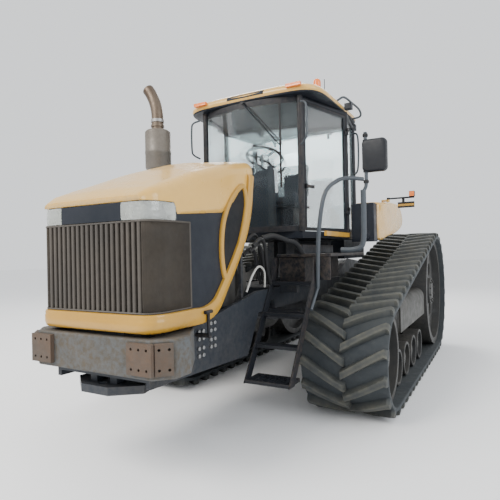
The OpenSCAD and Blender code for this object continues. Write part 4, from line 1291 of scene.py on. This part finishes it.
@dataclass
class Cab:
    """Frame, glass, door, controls and seat of the cab."""

    plain: tuple = (("cab_frame", BLACK_STEEL, 0.005), ("door_frame", BLACK_STEEL, 0.005),
                    ("consoles", DARK_PLASTIC, 0.012), ("steering_wheel", TRIM_RUBBER, 0.002),
                    ("seat_base", DARK_PLASTIC, 0.008), ("wiper_arm", BLACK_STEEL, 0.001),
                    ("wiper_blade", TRIM_RUBBER, 0.002))
    panes: tuple = ("cab_glass", "door_glass")
    pads: tuple = ("seat_cushion", "seat_back")
    swell: float = 0.022
    frames: int = 20

    def build(self) -> None:
        """Rounds the plain nodes and dresses the glass."""
        for node, finish, bevel in self.plain:
            rounded_copy(node, finish, bevel)
        for node in self.panes:
            dress_node(node, GLASS)
        floor = rounded_copy("cab_floor", DARK_PLASTIC, 0.006)
        at = face_centres(floor)
        second_finish(floor, BAND_YELLOW, (np.abs(at[:, 0]) > 0.8235) & (at[:, 2] < 1.7))
        rear = rounded_copy("rear_window", TRIM_RUBBER, 0.001)
        at = face_centres(rear)
        pane = (np.abs(at[:, 1] - 0.45) < 0.0035) & (np.abs(at[:, 0]) <= 0.67)
        second_finish(rear, GLASS, pane)

    def pad(self, node: str) -> None:
        """One stuffed seat pad, puffed by a short cloth run whose movement is capped.

        Args:
            node: the CAD block that it takes the place of.
        """
        mesh = frame["nodes"][node].data.copy()
        item = place(mesh, node + "_pad", "seat", CLOTH, (node,), 0.0, 180.0)
        grid = item.modifiers.new("grid", "REMESH")
        grid.mode = "VOXEL"
        grid.voxel_size = 0.018
        self.settle(item)
        before = self.places(item.data)
        cloth = item.modifiers.new("cloth", "CLOTH")
        cloth.settings.use_pressure = True
        cloth.settings.uniform_pressure_force = 4.0
        cloth.settings.effector_weights.gravity = 0.0
        cloth.settings.quality = 6
        for number in range(1, self.frames + 1):
            bpy.context.scene.frame_set(number)
        self.settle(item)
        bpy.context.scene.frame_set(1)
        moved = self.places(item.data) - before
        length = np.linalg.norm(moved, axis=1, keepdims=True)
        moved *= np.minimum(1.0, self.swell / np.maximum(length, 1e-9))
        item.data.vertices.foreach_set("co", (before + moved).ravel())
        item.data.shade_smooth()
        smooth = item.modifiers.new("round", "SUBSURF")
        smooth.levels = smooth.render_levels = 1

    @staticmethod
    def places(mesh: bpy.types.Mesh) -> np.ndarray:
        """The mesh's points, one row each."""
        flat = np.empty(len(mesh.vertices) * 3, np.float32)
        mesh.vertices.foreach_get("co", flat)
        return flat.reshape(-1, 3)

    @staticmethod
    def settle(item: bpy.types.Object) -> None:
        """Turns what a piece's modifiers make into its own mesh."""
        graph = bpy.context.evaluated_depsgraph_get()
        mesh = bpy.data.meshes.new_from_object(item.evaluated_get(graph))
        item.modifiers.clear()
        item.data = mesh

    def dress(self) -> None:
        """Makes the seat's pads."""
        for node in self.pads:
            self.pad(node)


# ---- Exhaust and arm lamps ---------------------------------------------------------------


@dataclass
class Exhaust:
    """Muffler on its pipe, and the bent outlet above it."""

    place: tuple[float, float] = (-0.85, -1.45)

    def build(self) -> None:
        """Makes the muffler can and rounds the outlet."""
        can = [(0.001, 1.48), (0.070, 1.48), (0.070, 2.385), (0.10, 2.392), (0.128, 2.402),
               (0.135, 2.415), (0.135, 2.56), (0.1375, 2.564), (0.1375, 2.588), (0.135, 2.592),
               (0.135, 2.775), (0.133, 2.795), (0.118, 2.81), (0.085, 2.82), (0.001, 2.82)]
        shape = Shape().spun(can, (*self.place, 0.0), "Z", 56)
        shape.piece("muffler_can", "chassis", MUFFLER, ("muffler",), sharp=35.0)
        brace = Shape().box((-0.958, -1.528, 1.473), (-0.602, -0.902, 1.487))
        brace.box((-0.878, -1.32, 1.48), (-0.822, -1.302, 2.50))
        brace.piece("muffler_brace", "chassis", BLACK_STEEL, bevel=0.003)
        rounded_copy("exhaust_stack", STACK, 0.001)

    def dress(self) -> None:
        """Adds the clamp round the outlet's foot."""
        ring = [(0.063, 2.90), (0.069, 2.90), (0.069, 2.93), (0.063, 2.93)]
        Shape().spun(ring, (*self.place, 0.0), "Z", 40).piece("stack_clamp", "chassis", BOLT)


@dataclass
class ArmLamps:
    """The folding arms over the belts, with their lamps and striped boards."""

    def build(self) -> None:
        """Rounds both arms."""
        for node in ("lamp_arm_left", "lamp_arm_right"):
            rounded_copy(node, BLACK_STEEL, 0.002)

    def dress(self) -> None:
        """Adds lenses in front and behind, and stripes on the boards."""
        for word, sign in (("left", 1), ("right", -1)):
            for name, finish, y in (("amber", AMBER, (0.379, 0.386)), ("red", RED, (0.434, 0.441))):
                outline = rounded_outline(0.056, 0.056, 0.01, 4) * (sign, 1) + (sign * 1.415, 2.149)
                Shape().prism(outline, "Y", *y).piece(
                    f"lens_{name}_{word}", f"lamp_{word[0]}", finish, bevel=0.002)
            low, high = sorted((sign * 1.252, sign * 1.438))
            Shape().box((low, 0.4035, 2.012), (high, 0.4065, 2.036)).piece(
                f"board_stripe_{word}", f"lamp_{word[0]}", BAND_YELLOW)


# ---- Studio ------------------------------------------------------------------------------


@dataclass
class Studio:
    """Floor, soft lamps and the camera."""

    stand: Point = (2.3206, -5.1684, 1.4890)
    yaw: float = math.radians(29.164)
    pitch: float = math.radians(0.392)
    roll: float = math.radians(-1.228)
    lens: float = 32.40

    def floor(self) -> None:
        """A pale round floor, wide enough to reach out of sight."""
        mesh = bpy.data.meshes.new("studio_floor")
        angle = np.linspace(0, 2 * math.pi, 64, endpoint=False)
        rim = np.column_stack([60 * np.cos(angle), 60 * np.sin(angle), np.full(64, -0.001)])
        mesh.from_pydata(rim.tolist(), [], [list(range(64))])
        paint = bpy.data.materials.new("studio_floor")
        paint.use_nodes = True
        shader = paint.node_tree.nodes["Principled BSDF"]
        shader.inputs["Base Color"].default_value = (0.92, 0.92, 0.92, 1)
        shader.inputs["Roughness"].default_value = 0.9
        mesh.materials.append(paint)
        item = bpy.data.objects.new("studio_floor", mesh)
        bpy.context.scene.collection.objects.link(item)

    def lamp(self, name: str, at: Point, size: float, power: float, colour: Colour) -> None:
        """One square soft lamp that looks at the machine's middle.

        Args:
            name: the lamp's name.
            at: where it hangs.
            size: its side.
            power: watts.
            colour: its colour.
        """
        data = bpy.data.lights.new(name, "AREA")
        data.shape = "SQUARE"
        data.size = size
        data.energy = power
        data.color = colour
        item = bpy.data.objects.new(name, data)
        bpy.context.scene.collection.objects.link(item)
        item.location = at
        aim = Vector((0.0, -0.6, 1.3)) - item.location
        item.rotation_euler = aim.to_track_quat("-Z", "Y").to_euler()

    def build(self) -> None:
        """Makes the floor and the sky."""
        self.floor()
        world = bpy.data.worlds.new("soft_sky")
        world.use_nodes = True
        world.node_tree.nodes["Background"].inputs["Color"].default_value = (0.95, 0.975, 1.0, 1)
        world.node_tree.nodes["Background"].inputs["Strength"].default_value = 1.25
        bpy.context.scene.world = world

    def dress(self) -> None:
        """Hangs the lamps and sets the camera.

        The camera looks along (-sin yaw cos pitch, cos yaw cos pitch, sin pitch), then rolls.
        """
        self.lamp("key_lamp", (-3.5, -9.0, 8.5), 5.0, 1250, (1.0, 0.97, 0.92))
        self.lamp("side_lamp", (9.0, -2.5, 5.0), 5.0, 420, (0.92, 0.96, 1.0))
        self.lamp("rear_lamp", (-4.0, 8.0, 7.0), 5.0, 600, (1.0, 1.0, 1.0))
        ahead = np.array([-math.sin(self.yaw) * math.cos(self.pitch),
                          math.cos(self.yaw) * math.cos(self.pitch), math.sin(self.pitch)])
        right = np.array([math.cos(self.yaw), math.sin(self.yaw), 0.0])
        up = np.cross(right, ahead)
        tilt_right = right * math.cos(self.roll) + up * math.sin(self.roll)
        tilt_up = up * math.cos(self.roll) - right * math.sin(self.roll)
        data = bpy.data.cameras.new("main_camera")
        data.lens = self.lens
        data.sensor_width = 36.0
        item = bpy.data.objects.new("main_camera", data)
        bpy.context.scene.collection.objects.link(item)
        turn = np.eye(4)
        turn[:3, 0], turn[:3, 1], turn[:3, 2], turn[:3, 3] = tilt_right, tilt_up, -ahead, self.stand
        item.matrix_world = Matrix(turn.tolist())
        bpy.context.scene.camera = item


def main() -> None:
    """Builds the studio and every sub-assembly."""
    logging.basicConfig(level=logging.INFO, format="%(name)s: %(message)s")
    make_finishes()
    for part in (Studio(), Chassis(), Track(1, "left"), Track(-1, "right"), Hood(), Rails(), Roof(),
                 Cab(), Exhaust(), ArmLamps()):
        part.build()
        part.dress()
        log.info("%s done", type(part).__name__)
    bpy.context.view_layer.update()


if __name__ == "__main__":
    main()
